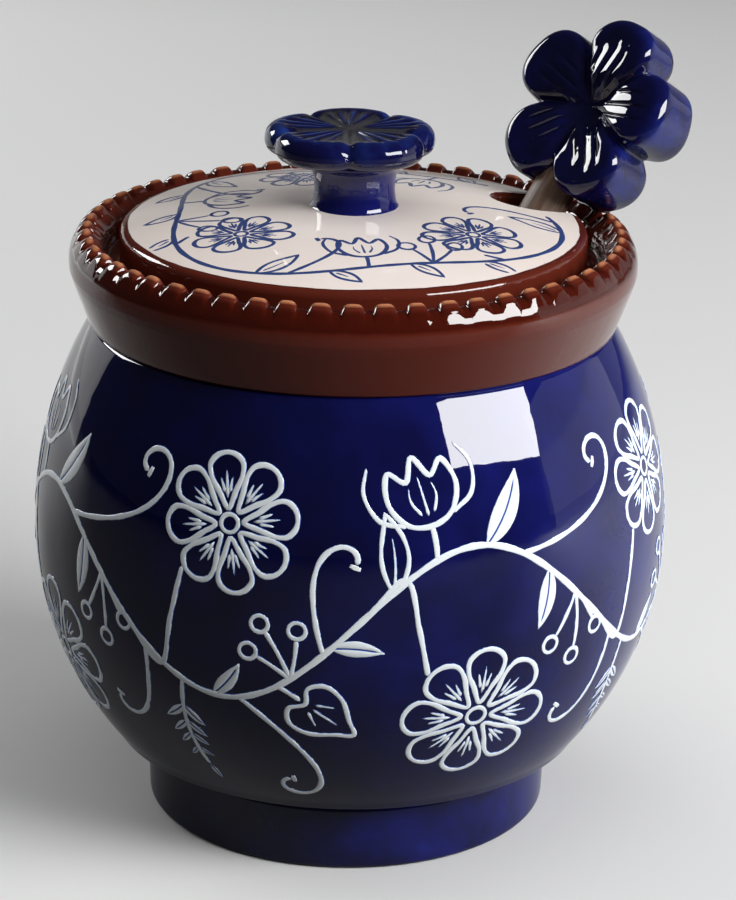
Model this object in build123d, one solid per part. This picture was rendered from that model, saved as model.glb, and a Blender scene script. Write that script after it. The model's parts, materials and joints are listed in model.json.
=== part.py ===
"""Honey pot with a beaded rim, a notched lift-off lid and a flower-topped wooden dipper.

Millimetres, +Z up. The origin is on the pot's own axis, in the plane that the foot stands on.
The pot, the lid and the dipper are three loose things. Each is built from the pieces that are
formed apart and luted or glued together, and those pieces meet face to face.
"""
from build123d import *
from math import atan2, cos, pi, radians, sin, sqrt, tan
import os

# ---------------------------------------------------------------- pot: foot
FOOT_RADIUS = 39.4
FOOT_RING_WIDTH = 5.7
FOOT_HEIGHT = 13.4
FOOT_EDGE_ROUND = 1.2
FOOT_RECESS = 3.5          # how far the floor's underside stands above the table
FLOOR_THICKNESS = 6.0

# ---------------------------------------------------------------- pot: belly
BELLY_RADIUS = 61.0
BELLY_HEIGHT = 57.0        # height of the widest circle
CLOSE_ABOVE = 29.2         # how far above the seam the belly's ellipse would close
CLOSE_BELOW = 21.2         # how far below the turn it would close
BELLY_TURN_RISE = 2.8      # from the top of the foot to where the belly turns in towards it
BELLY_TURN_ROUND = 2.2
BELLY_FOOT_OVERHANG = 1.0
BELLY_WALL = 5.5
INSIDE_DIP = 4.5           # how far below the floor the inside's ellipse would close
PROFILE_STEPS = 6          # spline spans in each half of the belly's outline

# ---------------------------------------------------------------- pot: rim collar
SEAM_HEIGHT = 97.8         # joint between the belly and the collar
SEAM_OVERHANG = 0.5        # the collar stands proud of the belly at the seam
COLLAR_HEIGHT = 15.1       # from the seam to the flat land under the beads
WIDEST_DROP = 3.7          # the collar's widest circle below that land
BREAK_DROP = 6.5           # the line where its cone turns into the round shoulder
BREAK_INSET = 0.45
RIM_EDGE_ROUND = 0.8
LID_GAP = 2.5              # between the lid's edge and the wall of its recess
GALLERY_DEPTH = 4.4        # from the rim's land down to the ledge that the lid rests on
LEDGE_WIDTH = 4.8
LEDGE_THICKNESS = 4.5
LIP_SLOPE = 1.3            # bevel from the recess's wall up to the rim's land

# ---------------------------------------------------------------- pot: beads
BEAD_COUNT = 56
BEAD_RADIUS = 1.8
BEAD_STRAIGHT = 1.0        # length between a bead's two rounded ends
BEAD_CENTRE_RISE = 0.5     # bead axis above the rim's land
BEAD_BAND_WIDTH = 3.2
BEAD_BAND_HEIGHT = 0.6
LAND_INSIDE_BEADS = 0.2
LAND_OUTSIDE_BEADS = 0.6

# ---------------------------------------------------------------- lid
LID_RADIUS = 44.1
LID_EDGE_HEIGHT = 6.6      # from the ledge to the top of the lid's edge
LID_EDGE_ROUND = 1.3
LID_RISE = 4.3             # dome above the edge
LID_THICKNESS = 6.0
FLANGE_GAP = 0.6           # between the locating flange and the ledge's opening
FLANGE_WIDTH = 3.4
FLANGE_DEPTH = 4.0
NOTCH_AZIMUTH = 25.0
NOTCH_SIDE_GAP = 2.65      # beside the dipper's stick
NOTCH_END_GAP = 1.3        # behind it, at the ledge's height
NOTCH_MOUTH_ROUND = 2.5

# ---------------------------------------------------------------- lid knob
KNOB_BASE_RADIUS = 8.3
KNOB_WAIST_RADIUS = 7.5
KNOB_NECK_RADIUS = 9.6
KNOB_WAIST_RISE = 3.6
KNOB_STEM_HEIGHT = 9.7
KNOB_PETAL_CIRCLE = 9.5    # petal centres from the cap's own axis
KNOB_PETAL_RADIUS = 6.9
KNOB_PETAL_ROUND = 2.4
KNOB_PETAL_FLAT = 0.7      # left upright between a petal's two rounds
KNOB_FIRST_PETAL = 18.0
KNOB_CAP_SHIFT = -1.0      # the hand-set cap stands off the stem's axis, along X

# ---------------------------------------------------------------- dipper
STICK_RADIUS = 4.25
STICK_LENGTH = 137.2       # turned wood, from the nose to the end inside the flower
SEAT_GAP = 0.3             # between the dipper and what it leans or stands on
NOSE_WALL_GAP = 4.9        # from the nose's outer edge to the pot's wall, level
NOSE_RADIUS = 7.5
NOSE_ROUND = 2.0
HEAD_LENGTH = 35.0
HEAD_RADIUS = 10.0
HEAD_DISCS = 7
HEAD_CORE_RADIUS = 5.0
GROOVE_SHARE = 0.48        # of each disc's pitch
SOCKET_DEPTH = 9.0
SOCKET_GAP = 0.05          # glue line round the stick
FLOWER_TURN = 20.0         # of the flower's face about the stick
FLOWER_THICKNESS = 12.4
FLOWER_EDGE_ROUND = 3.0
FLOWER_PETAL_CIRCLE = 10.3 # petal centres from the flower's own centre
FLOWER_PETAL_RADIUS = 7.9
FLOWER_LONG_PETAL = 1      # this petal was pulled out further than the others
FLOWER_LONG_EXTRA = 1.5
PETALS = 5
SETTLING_STEPS = 12        # passes that settle the dipper's tilt

# ---------------------------------------------------------------- worked out: heights
FLOOR_HEIGHT = FOOT_RECESS + FLOOR_THICKNESS
BELLY_TURN_HEIGHT = FOOT_HEIGHT + BELLY_TURN_RISE
BELLY_RISE = SEAM_HEIGHT + CLOSE_ABOVE - BELLY_HEIGHT     # half height of the ellipse above the widest circle
BELLY_DROP = BELLY_HEIGHT + CLOSE_BELOW - BELLY_TURN_HEIGHT
RIM_HEIGHT = SEAM_HEIGHT + COLLAR_HEIGHT
BEAD_TOP = RIM_HEIGHT + BEAD_CENTRE_RISE + BEAD_RADIUS
LEDGE_HEIGHT = RIM_HEIGHT - GALLERY_DEPTH
LID_TOP_EDGE = LEDGE_HEIGHT + LID_EDGE_HEIGHT
LID_CROWN = LID_TOP_EDGE + LID_RISE

# ---------------------------------------------------------------- worked out: radii, from the lid outwards
GALLERY_RADIUS = LID_RADIUS + LID_GAP
LEDGE_RADIUS = GALLERY_RADIUS - LEDGE_WIDTH
LAND_INNER_RADIUS = GALLERY_RADIUS + LIP_SLOPE
BEAD_LENGTH = BEAD_STRAIGHT + 2 * BEAD_RADIUS
BEAD_CIRCLE_RADIUS = LAND_INNER_RADIUS + LAND_INSIDE_BEADS + BEAD_LENGTH / 2
LAND_OUTER_RADIUS = BEAD_CIRCLE_RADIUS + BEAD_LENGTH / 2 + LAND_OUTSIDE_BEADS
COLLAR_RADIUS = LAND_OUTER_RADIUS + BREAK_INSET
FLANGE_RADIUS = LEDGE_RADIUS - FLANGE_GAP
FOOT_INNER_RADIUS = FOOT_RADIUS - FOOT_RING_WIDTH
NOTCH_WIDTH = 2 * (STICK_RADIUS + NOTCH_SIDE_GAP)
KNOB_CAP_THICKNESS = 2 * KNOB_PETAL_ROUND + KNOB_PETAL_FLAT


def half_ellipse(radius, half_height, height):
    """Radius of the belly's ellipse at this height above the origin."""
    return radius * sqrt(1 - ((height - BELLY_HEIGHT) / half_height) ** 2)


def outer_radius(height):
    """The belly's outside radius at a height."""
    reach = BELLY_RISE if height > BELLY_HEIGHT else BELLY_DROP
    return half_ellipse(BELLY_RADIUS, reach, height)


def inner_radius(height):
    """The belly's inside radius at a height."""
    above = BELLY_RISE - BELLY_WALL
    below = BELLY_HEIGHT + INSIDE_DIP - FLOOR_HEIGHT
    return half_ellipse(BELLY_RADIUS - BELLY_WALL, above if height > BELLY_HEIGHT else below, height)


def curve_points(radius_at, low, high, steps):
    """Points on an outline, evenly spaced in height, from low to high."""
    heights = [low + (high - low) * i / steps for i in range(steps + 1)]
    return [(radius_at(h), h) for h in heights]


def turned(*edges):
    """A solid of revolution about Z, from edges drawn as (radius, height)."""
    section = make_face(Curve() + list(edges))
    return revolve(Plane.XZ * section, Axis.Z)


def build_foot_ring():
    """The ring that the pot stands on."""
    ring = Cylinder(FOOT_RADIUS, FOOT_HEIGHT, align=(Align.CENTER, Align.CENTER, Align.MIN))
    ring -= Cylinder(FOOT_INNER_RADIUS, FOOT_HEIGHT, align=(Align.CENTER, Align.CENTER, Align.MIN))
    bottom_edges = ring.edges().filter_by(GeomType.CIRCLE).group_by(Axis.Z)[0]
    return fillet(bottom_edges, FOOT_EDGE_ROUND)


def build_bowl():
    """The belly with its floor, open at the seam."""
    top = SEAM_HEIGHT
    outer_low = curve_points(outer_radius, BELLY_TURN_HEIGHT, BELLY_HEIGHT, PROFILE_STEPS)
    outer_high = curve_points(outer_radius, BELLY_HEIGHT, top, PROFILE_STEPS)
    inner_low = curve_points(inner_radius, FLOOR_HEIGHT, BELLY_HEIGHT, PROFILE_STEPS)
    inner_high = curve_points(inner_radius, BELLY_HEIGHT, top, PROFILE_STEPS)
    foot_contact = FOOT_RADIUS + BELLY_FOOT_OVERHANG
    underside = Polyline(
        (0, FLOOR_HEIGHT), (0, FOOT_RECESS), (FOOT_INNER_RADIUS, FOOT_RECESS),
        (FOOT_INNER_RADIUS, FOOT_HEIGHT), (foot_contact, FOOT_HEIGHT), outer_low[0])
    shell = turned(
        underside,
        Spline(*outer_low),
        Spline(*outer_high),
        Line(outer_high[-1], inner_high[-1]),
        Spline(*inner_high),
        Spline(*inner_low),
        Line(inner_low[0], (0, FLOOR_HEIGHT)))
    turn_edge = [
        edge for edge in shell.edges().filter_by(GeomType.CIRCLE)
        if abs(edge.radius - outer_low[0][0]) < 0.01 and abs(edge.center().Z - BELLY_TURN_HEIGHT) < 0.01]
    return fillet(turn_edge, BELLY_TURN_ROUND)


def build_rim_collar():
    """The flared collar, with the ledge and the recess that take the lid."""
    seam_outer = outer_radius(SEAM_HEIGHT) + SEAM_OVERHANG
    mouth = inner_radius(SEAM_HEIGHT)
    break_point = (LAND_OUTER_RADIUS, RIM_HEIGHT - BREAK_DROP)
    widest = (COLLAR_RADIUS, RIM_HEIGHT - WIDEST_DROP)
    land_outer = (LAND_OUTER_RADIUS, RIM_HEIGHT)
    land_inner = (LAND_INNER_RADIUS, RIM_HEIGHT)
    inside = Polyline(
        land_outer, land_inner,
        (GALLERY_RADIUS, RIM_HEIGHT - LIP_SLOPE), (GALLERY_RADIUS, LEDGE_HEIGHT),
        (LEDGE_RADIUS, LEDGE_HEIGHT), (LEDGE_RADIUS, LEDGE_HEIGHT - LEDGE_THICKNESS),
        (mouth, SEAM_HEIGHT), (seam_outer, SEAM_HEIGHT), break_point)
    collar = turned(ThreePointArc(break_point, widest, land_outer), inside)
    rim_edge = collar.edges().filter_by(GeomType.CIRCLE).group_by(Axis.Z)[-1].sort_by(SortBy.RADIUS)[-1]
    return fillet(rim_edge, RIM_EDGE_ROUND)


def build_bead_ring():
    """A low band with round-ended beads pressed all round it, lying on the rim's land."""
    lowest = (Align.CENTER, Align.CENTER, Align.MIN)
    band_outer = Cylinder(BEAD_CIRCLE_RADIUS + BEAD_BAND_WIDTH / 2, BEAD_BAND_HEIGHT, align=lowest)
    band_inner = Cylinder(BEAD_CIRCLE_RADIUS - BEAD_BAND_WIDTH / 2, BEAD_BAND_HEIGHT, align=lowest)
    band = band_outer - band_inner
    barrel = Rot(0, 90, 0) * Cylinder(BEAD_RADIUS, BEAD_STRAIGHT)
    ends = [Pos(side * BEAD_STRAIGHT / 2, 0, 0) * Sphere(BEAD_RADIUS) for side in (-1, 1)]
    bead = Pos(0, 0, BEAD_CENTRE_RISE) * (barrel + ends)
    below_land = Box(2 * BEAD_LENGTH, 2 * BEAD_LENGTH, 2 * BEAD_LENGTH, align=(Align.CENTER, Align.CENTER, Align.MAX))
    bead -= below_land
    ring = band + [loc * bead for loc in PolarLocations(BEAD_CIRCLE_RADIUS, BEAD_COUNT)]
    return Pos(0, 0, RIM_HEIGHT) * ring


def notch_cutter():
    """A tall U, open at the lid's edge, whose round end clears the dipper's stick."""
    tilt = dipper_tilt()
    stick_back = stick_radius_at_ledge(tilt) - STICK_RADIUS / cos(tilt)
    centre = stick_back - NOTCH_END_GAP + NOTCH_WIDTH / 2
    far = LID_RADIUS + NOTCH_WIDTH
    slot = Pos(centre, 0) * Circle(NOTCH_WIDTH / 2)
    slot += Pos((centre + far) / 2, 0) * Rectangle(far - centre, NOTCH_WIDTH)
    return Rot(0, 0, NOTCH_AZIMUTH) * extrude(slot, LID_CROWN + LID_THICKNESS)


def on_section_plane(edge):
    """True for the seam line that a revolved face keeps in the XZ plane."""
    return all(abs(edge.position_at(t).Y) < 1e-6 for t in (0, 0.5, 1))


def distance_from_axis(point):
    """Level distance of a point from the pot's axis."""
    return Vector(point.X, point.Y).length


def build_lid_plate():
    """The domed lid plate with its notch for the dipper, and a flat land under the knob."""
    under_crown = LID_CROWN - LID_THICKNESS
    under_radius = FLANGE_RADIUS - FLANGE_WIDTH
    top_middle = (KNOB_BASE_RADIUS + LID_RADIUS) / 2
    top_arc = ThreePointArc(
        (KNOB_BASE_RADIUS, LID_CROWN), (top_middle, LID_CROWN - LID_RISE / 3), (LID_RADIUS, LID_TOP_EDGE))
    under_arc = ThreePointArc(
        (under_radius, LEDGE_HEIGHT),
        (under_radius / 2, under_crown - (under_crown - LEDGE_HEIGHT) / 4),
        (0, under_crown))
    edge_and_seat = Polyline((LID_RADIUS, LID_TOP_EDGE), (LID_RADIUS, LEDGE_HEIGHT), (under_radius, LEDGE_HEIGHT))
    axis_and_land = Polyline((0, under_crown), (0, LID_CROWN), (KNOB_BASE_RADIUS, LID_CROWN))
    plate = turned(top_arc, edge_and_seat, under_arc, axis_and_land) - notch_cutter()
    mouth_corners = [
        edge for edge in plate.edges().filter_by(Axis.Z)
        if not on_section_plane(edge) and edge.center().Z < LID_TOP_EDGE
        and abs(distance_from_axis(edge.center()) - LID_RADIUS) < NOTCH_MOUTH_ROUND]
    plate = fillet(mouth_corners, NOTCH_MOUTH_ROUND)
    top_edges = [
        edge for edge in plate.edges()
        if not on_section_plane(edge) and edge.center().Z > LID_TOP_EDGE - LID_EDGE_ROUND
        and abs(edge.tangent_at(0.5).Z) < 0.5 and distance_from_axis(edge.position_at(0.5)) > 2 * KNOB_BASE_RADIUS]
    return fillet(top_edges, LID_EDGE_ROUND)


def build_lid_flange():
    """The locating ring under the lid, broken where the dipper passes."""
    highest = (Align.CENTER, Align.CENTER, Align.MAX)
    ring = Cylinder(FLANGE_RADIUS, FLANGE_DEPTH, align=highest)
    ring -= Cylinder(FLANGE_RADIUS - FLANGE_WIDTH, FLANGE_DEPTH, align=highest)
    return Pos(0, 0, LEDGE_HEIGHT) * ring - notch_cutter()


def petal_cluster(petal_circle, petal_radius, thickness, edge_round, first_angle, long_petal=None, extra=0.0):
    """Round-edged petals joined about Z, standing on the XY plane."""
    on_plane = (Align.CENTER, Align.CENTER, Align.MIN)
    cluster = Cylinder(petal_circle, thickness, align=on_plane)
    for number in range(PETALS):
        petal = Cylinder(petal_radius, thickness, align=on_plane)
        petal = fillet(petal.edges().filter_by(GeomType.CIRCLE), edge_round)
        offset = petal_circle + (extra if number == long_petal else 0)
        cluster += Rot(0, 0, first_angle + 360 / PETALS * number) * Pos(offset, 0, 0) * petal
    return cluster


def petal_notch_radius(petal_circle, petal_radius):
    """Distance from the middle of a flower to where two petals meet at its edge."""
    half_step = pi / PETALS
    return petal_circle * cos(half_step) + sqrt(petal_radius ** 2 - (petal_circle * sin(half_step)) ** 2)


def build_lid_knob():
    """A waisted stem under a thick flower-shaped cap."""
    waist = (KNOB_WAIST_RADIUS, LID_CROWN + KNOB_WAIST_RISE)
    cap_base = LID_CROWN + KNOB_STEM_HEIGHT
    stem_side = ThreePointArc((KNOB_BASE_RADIUS, LID_CROWN), waist, (KNOB_NECK_RADIUS, cap_base))
    ends = Polyline((KNOB_NECK_RADIUS, cap_base), (0, cap_base), (0, LID_CROWN), (KNOB_BASE_RADIUS, LID_CROWN))
    cap = petal_cluster(
        KNOB_PETAL_CIRCLE, KNOB_PETAL_RADIUS, KNOB_CAP_THICKNESS, KNOB_PETAL_ROUND, KNOB_FIRST_PETAL)
    return turned(stem_side, ends) + Pos(KNOB_CAP_SHIFT, 0, cap_base) * cap


def stick_radius_at_ledge(tilt):
    """Distance of the stick's axis from the pot's axis, level with the ledge that it leans on."""
    return LEDGE_RADIUS - SEAT_GAP - STICK_RADIUS / cos(tilt)


def nose_height(tilt):
    """Height of the middle of the dipper's nose when the nose's rounded edge stands on the floor."""
    return FLOOR_HEIGHT + SEAT_GAP + NOSE_ROUND + (NOSE_RADIUS - NOSE_ROUND) * sin(tilt) - NOSE_ROUND * cos(tilt)


def dipper_tilt():
    """Lean from upright, in radians, of a dipper that stands by the wall opposite the notch.

    The nose's height, its room beside the wall and the stick's level width all change with the
    lean, so it is settled in a few passes.
    """
    tilt = radians(30)
    for _ in range(SETTLING_STEPS):
        height = nose_height(tilt)
        wall = inner_radius(height + NOSE_RADIUS * sin(tilt))
        nose_beyond_axis = wall - NOSE_WALL_GAP - NOSE_RADIUS * cos(tilt)
        tilt = atan2(stick_radius_at_ledge(tilt) + nose_beyond_axis, LEDGE_HEIGHT - height)
    return tilt


def standing_frame():
    """Plane at the nose of a dipper that stands on the floor: Z runs up the stick, and X is level."""
    tilt = dipper_tilt()
    azimuth = radians(NOTCH_AZIMUTH)
    height = nose_height(tilt)
    radius = stick_radius_at_ledge(tilt) - (LEDGE_HEIGHT - height) * tan(tilt)
    along = (sin(tilt) * cos(azimuth), sin(tilt) * sin(azimuth), cos(tilt))
    return Plane(
        origin=(radius * cos(azimuth), radius * sin(azimuth), height),
        x_dir=(sin(azimuth), -cos(azimuth), 0), z_dir=along)


def dipper_frame():
    """The same plane, drawn up along the stick where the flower would meet the beads first."""
    standing = standing_frame()
    flower_bottom = (standing * flower_on_stick()).bounding_box().min.Z
    short_by = max(0, BEAD_TOP + SEAT_GAP - flower_bottom)
    draw = standing.z_dir * (short_by / cos(dipper_tilt()))
    return Plane(origin=standing.origin + draw, x_dir=standing.x_dir, z_dir=standing.z_dir)


def build_dipper_stick():
    """The turned wooden stick with its grooved honey head."""
    pitch = HEAD_LENGTH / HEAD_DISCS
    disc = pitch * (1 - GROOVE_SHARE)
    outline = [(0, 0)]
    for number in range(HEAD_DISCS):
        swell = (HEAD_RADIUS - NOSE_RADIUS) * sin(pi * number / (HEAD_DISCS - 1))
        radius = NOSE_RADIUS + swell
        start = pitch * number
        outline += [(radius, start), (radius, start + disc)]
        after = STICK_RADIUS if number == HEAD_DISCS - 1 else HEAD_CORE_RADIUS
        outline += [(after, start + disc)]
        if number < HEAD_DISCS - 1:
            outline += [(after, start + pitch)]
    outline += [(STICK_RADIUS, STICK_LENGTH), (0, STICK_LENGTH), (0, 0)]
    stick = turned(Polyline(*outline))
    nose_edge = stick.edges().filter_by(GeomType.CIRCLE).group_by(Axis.Z)[0]
    return dipper_frame() * fillet(nose_edge, NOSE_ROUND)


def flower_on_stick():
    """The thick flower in the stick's own frame: the stick is glued in edge on, between two petals."""
    middle = STICK_LENGTH - SOCKET_DEPTH + petal_notch_radius(FLOWER_PETAL_CIRCLE, FLOWER_PETAL_RADIUS)
    cluster = petal_cluster(
        FLOWER_PETAL_CIRCLE, FLOWER_PETAL_RADIUS, FLOWER_THICKNESS, FLOWER_EDGE_ROUND, 0,
        FLOWER_LONG_PETAL, FLOWER_LONG_EXTRA)
    turn = radians(FLOWER_TURN)
    face = Plane(origin=(0, 0, middle), x_dir=(0, 0, 1), z_dir=(sin(turn), -cos(turn), 0))
    flower = face * Pos(0, 0, -FLOWER_THICKNESS / 2) * cluster
    return flower - Cylinder(STICK_RADIUS + SOCKET_GAP, STICK_LENGTH, align=(Align.CENTER, Align.CENTER, Align.MIN))


def build_dipper_flower():
    """The glazed flower, where the dipper rests."""
    return dipper_frame() * flower_on_stick()


BUILDERS = {
    "foot_ring": build_foot_ring,
    "bowl": build_bowl,
    "rim_collar": build_rim_collar,
    "bead_ring": build_bead_ring,
    "lid_plate": build_lid_plate,
    "lid_flange": build_lid_flange,
    "lid_knob": build_lid_knob,
    "dipper_stick": build_dipper_stick,
    "dipper_flower": build_dipper_flower,
}

os.makedirs("parts", exist_ok=True)
for node, build in BUILDERS.items():
    solid = build()
    export_step(solid, f"parts/{node}.step")
    print(f"{node}: {solid.volume / 1000:.1f} cm3")
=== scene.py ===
# %% [markdown]
# # A honey pot with a notched lid and a flower-topped dipper
#
# The real thing is stoneware: a thrown round pot with a flared collar and a ring of beads, a domed
# lid that lifts off, and a wooden dipper whose glazed flower stands out over the rim. This lesson
# dresses its plain CAD model. Nearly everything is either turned round an axis, carved into a
# flower, or drawn on a curved surface with a slip trailer, so three kinds of tool do most of it.
#
# Sizes are written in millimetres and turned into metres where a mesh is made.

# %% The frame
from math import acos, atan2, cos, degrees, pi, radians, sin, sqrt
import json
import random

import bmesh
import bpy
import numpy as np
from mathutils import Matrix, Vector
from mathutils.bvhtree import BVHTree


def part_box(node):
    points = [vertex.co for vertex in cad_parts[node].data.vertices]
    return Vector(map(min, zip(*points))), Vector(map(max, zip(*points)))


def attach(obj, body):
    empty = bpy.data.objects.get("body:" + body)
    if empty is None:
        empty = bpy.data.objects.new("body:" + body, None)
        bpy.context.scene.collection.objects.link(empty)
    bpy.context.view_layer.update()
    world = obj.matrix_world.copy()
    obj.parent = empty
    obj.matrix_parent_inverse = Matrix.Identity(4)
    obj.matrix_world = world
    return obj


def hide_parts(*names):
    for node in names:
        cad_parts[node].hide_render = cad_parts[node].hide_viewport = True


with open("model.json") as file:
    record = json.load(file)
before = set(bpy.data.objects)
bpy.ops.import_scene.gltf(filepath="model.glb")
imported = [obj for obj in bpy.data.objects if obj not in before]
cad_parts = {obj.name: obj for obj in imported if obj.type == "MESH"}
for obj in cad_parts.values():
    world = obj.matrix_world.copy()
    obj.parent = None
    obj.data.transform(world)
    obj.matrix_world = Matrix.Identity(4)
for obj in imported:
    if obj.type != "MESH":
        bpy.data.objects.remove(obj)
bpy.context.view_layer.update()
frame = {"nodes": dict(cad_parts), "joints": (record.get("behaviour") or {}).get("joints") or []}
MM = 0.001


def node_top(node):
    """Height of a CAD node's highest point, in millimetres."""
    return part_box(node)[1].z / MM


def node_radius(node):
    """Half the width of a CAD node that is round about the pot's axis, in millimetres."""
    low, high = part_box(node)
    return (high.y - low.y) / 2 / MM


# %% [markdown]
# ## The camera
#
# A long lens a little over half a metre away, looking down about twenty degrees, shows both the
# round of the belly and the top of the lid. The camera is aimed by three turns. Pitch tips it
# down, yaw swings it, and roll leans it, and a matrix of its own right, up and back directions
# puts them together, which is easier to check than three Euler angles.

# %% The camera
CAMERA_PLACE = Vector((0, -599.8, 283.6)) * MM
CAMERA_PITCH, CAMERA_YAW, CAMERA_ROLL = radians(19.57), radians(0.32), radians(0.96)
CAMERA_LENS = 132

forward = Vector((
    sin(CAMERA_YAW) * cos(CAMERA_PITCH), cos(CAMERA_YAW) * cos(CAMERA_PITCH), -sin(CAMERA_PITCH)))
level_right = Vector((cos(CAMERA_YAW), -sin(CAMERA_YAW), 0))
level_up = level_right.cross(forward)
right = level_right * cos(CAMERA_ROLL) + level_up * sin(CAMERA_ROLL)
up = level_up * cos(CAMERA_ROLL) - level_right * sin(CAMERA_ROLL)

camera = bpy.data.objects.new("camera", bpy.data.cameras.new("camera"))
camera.data.lens = CAMERA_LENS
camera.matrix_world = Matrix.Translation(CAMERA_PLACE) @ Matrix((right, up, -forward)).transposed().to_4x4()
bpy.context.scene.collection.objects.link(camera)
bpy.context.scene.camera = camera
print("camera", [round(v, 3) for v in camera.location], "looks along", [round(v, 3) for v in forward])

# %% [markdown]
# ## Lamps
#
# Glaze is a mirror over a colour, so each lamp is chosen by what it draws on it. The key window
# stands to the right and in front, and its reflection is the crisp white patch on the shoulder. A
# smaller window, high behind on the left, draws the fine lights along rims and carved ridges. It
# shows only as a reflection, because its own light would throw hard shadows on the lid. Two dim
# walls, low on either side behind the pot, brighten the sides of the belly. Two large fills light
# the lid and the floor softly. The glaze doesn't mirror those, or they would lie on it as grey
# patches.

# %% Lamps
WINDOW_AIM = Vector((0, 0, 90)) * MM


def soft_window(name, azimuth, elevation, distance, width, height, radiance, roll=0.0):
    """A rectangular lamp seen from the pot at an azimuth (0 is the front) and elevation, in degrees."""
    a, e = radians(azimuth), radians(elevation)
    away = Vector((sin(a) * cos(e), -cos(a) * cos(e), sin(e)))
    lamp = bpy.data.lights.new(name, "AREA")
    lamp.shape = "RECTANGLE"
    lamp.size, lamp.size_y = width, height
    lamp.energy = radiance * pi * width * height
    holder = bpy.data.objects.new(name, lamp)
    facing = away.to_track_quat("Z", "Y").to_matrix().to_4x4()
    holder.matrix_world = (
        Matrix.Translation(WINDOW_AIM + away * distance) @ facing @ Matrix.Rotation(radians(roll), 4, "Z"))
    bpy.context.scene.collection.objects.link(holder)
    holder.visible_camera = False
    print(f"{name}: {width:.2f} by {height:.2f} m, {lamp.energy:.1f} W")
    return holder


soft_window(
    "key_window", azimuth=58.5, elevation=26, distance=0.90, width=0.60, height=0.31, radiance=19.5,
    roll=-12)
rim_window = soft_window(
    "rim_window", azimuth=-126, elevation=27, distance=0.90, width=0.34, height=0.30, radiance=13.0)
rim_window.visible_diffuse = False
soft_window(
    "right_wall", azimuth=101, elevation=10, distance=0.90, width=0.86, height=0.50, radiance=0.48)
soft_window(
    "left_wall", azimuth=-140, elevation=4, distance=0.90, width=0.66, height=0.30, radiance=0.75)
left_fill = soft_window(
    "left_fill", azimuth=-126, elevation=30, distance=1.10, width=1.20, height=0.90, radiance=1.7)
top_fill = soft_window(
    "top_fill", azimuth=10, elevation=74, distance=1.40, width=1.40, height=1.10, radiance=1.1)
for fill in (left_fill, top_fill):
    fill.visible_glossy = False

# %% [markdown]
# ## Small tools for materials
#
# A material is a graph of nodes. Placing them by hand in the shader editor is quick to see and
# slow to repeat, so a few helpers make a node, link two sockets, and do what every finish here
# needs: sums, soft steps, clouds, colour ramps and bumps. With them each finish reads as a short
# recipe. A world has a node tree too, so the same helpers serve the room.

# %% Small tools for materials
BUMP_DEPTH = 0.0002                        # in metres, at a bump strength of 1


def new_material(name):
    """A material with its Principled shader, ready for nodes."""
    material = bpy.data.materials.new(name)
    material.use_nodes = True
    return material, material.node_tree.nodes["Principled BSDF"]


def add_node(owner, kind, **settings):
    """A shader node of a material or world, with its settings and input values by name."""
    node = owner.node_tree.nodes.new(kind)
    for key, value in settings.items():
        if hasattr(node, key):
            setattr(node, key, value)
        else:
            node.inputs[key].default_value = value
    return node


def join(owner, source, target):
    """Links an output socket to an input socket."""
    owner.node_tree.links.new(source, target)


def reckon(owner, operation, first, second):
    """One sum of two values, such as their product or the larger of them."""
    node = add_node(owner, "ShaderNodeMath", operation=operation)
    join(owner, first, node.inputs[0])
    join(owner, second, node.inputs[1])
    return node.outputs["Value"]


def scaled(owner, value, share, offset=0.0):
    """share * value + offset."""
    change = add_node(owner, "ShaderNodeMath", operation="MULTIPLY_ADD")
    change.inputs[1].default_value, change.inputs[2].default_value = share, offset
    join(owner, value, change.inputs[0])
    return change.outputs["Value"]


def sum_of(owner, first, second, share=1.0, offset=0.0):
    """first + share * second + offset."""
    return reckon(owner, "ADD", first, scaled(owner, second, share, offset))


def between(owner, value, low, high):
    """0 at low, 1 at high, and smooth between."""
    soft = add_node(owner, "ShaderNodeMapRange", interpolation_type="SMOOTHSTEP")
    soft.inputs["From Min"].default_value, soft.inputs["From Max"].default_value = low, high
    join(owner, value, soft.inputs["Value"])
    return soft.outputs["Result"]


def object_place(owner):
    """Each point's place in its own object, in metres."""
    return add_node(owner, "ShaderNodeTexCoord").outputs["Object"]


def distance_along(owner, place, direction):
    """How far places lie along a direction. A longer direction counts more steps to a metre."""
    product = add_node(owner, "ShaderNodeVectorMath", operation="DOT_PRODUCT")
    join(owner, place, product.inputs[0])
    product.inputs[1].default_value = direction
    return product.outputs["Value"]


def attribute(material, name):
    """A value that the mesh carries on its points."""
    return add_node(material, "ShaderNodeAttribute", attribute_name=name).outputs["Fac"]


def cloudy(material, scale, detail=3.0):
    """Soft noise over the object, as a value from 0 to 1."""
    noise = add_node(material, "ShaderNodeTexNoise", Scale=scale, Detail=detail, Roughness=0.55)
    join(material, object_place(material), noise.inputs["Vector"])
    return noise.outputs["Fac"]


def colour_steps(owner, factor, steps):
    """A colour ramp fed by factor, with (place, colour) steps."""
    ramp = add_node(owner, "ShaderNodeValToRGB")
    elements = ramp.color_ramp.elements
    while len(elements) < len(steps):
        elements.new(0.5)
    for element, (place, colour) in zip(elements, steps):
        element.position = place
        element.color = (*colour, 1)
    join(owner, factor, ramp.inputs["Fac"])
    return ramp.outputs["Color"]


def bumps(material, shader, height, strength):
    """Feeds a height to the normals of a shader and of its clear coat."""
    bump = add_node(material, "ShaderNodeBump", Strength=strength, Distance=BUMP_DEPTH)
    join(material, height, bump.inputs["Height"])
    for socket in ("Normal", "Coat Normal"):
        join(material, bump.outputs["Normal"], shader.inputs[socket])


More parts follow.
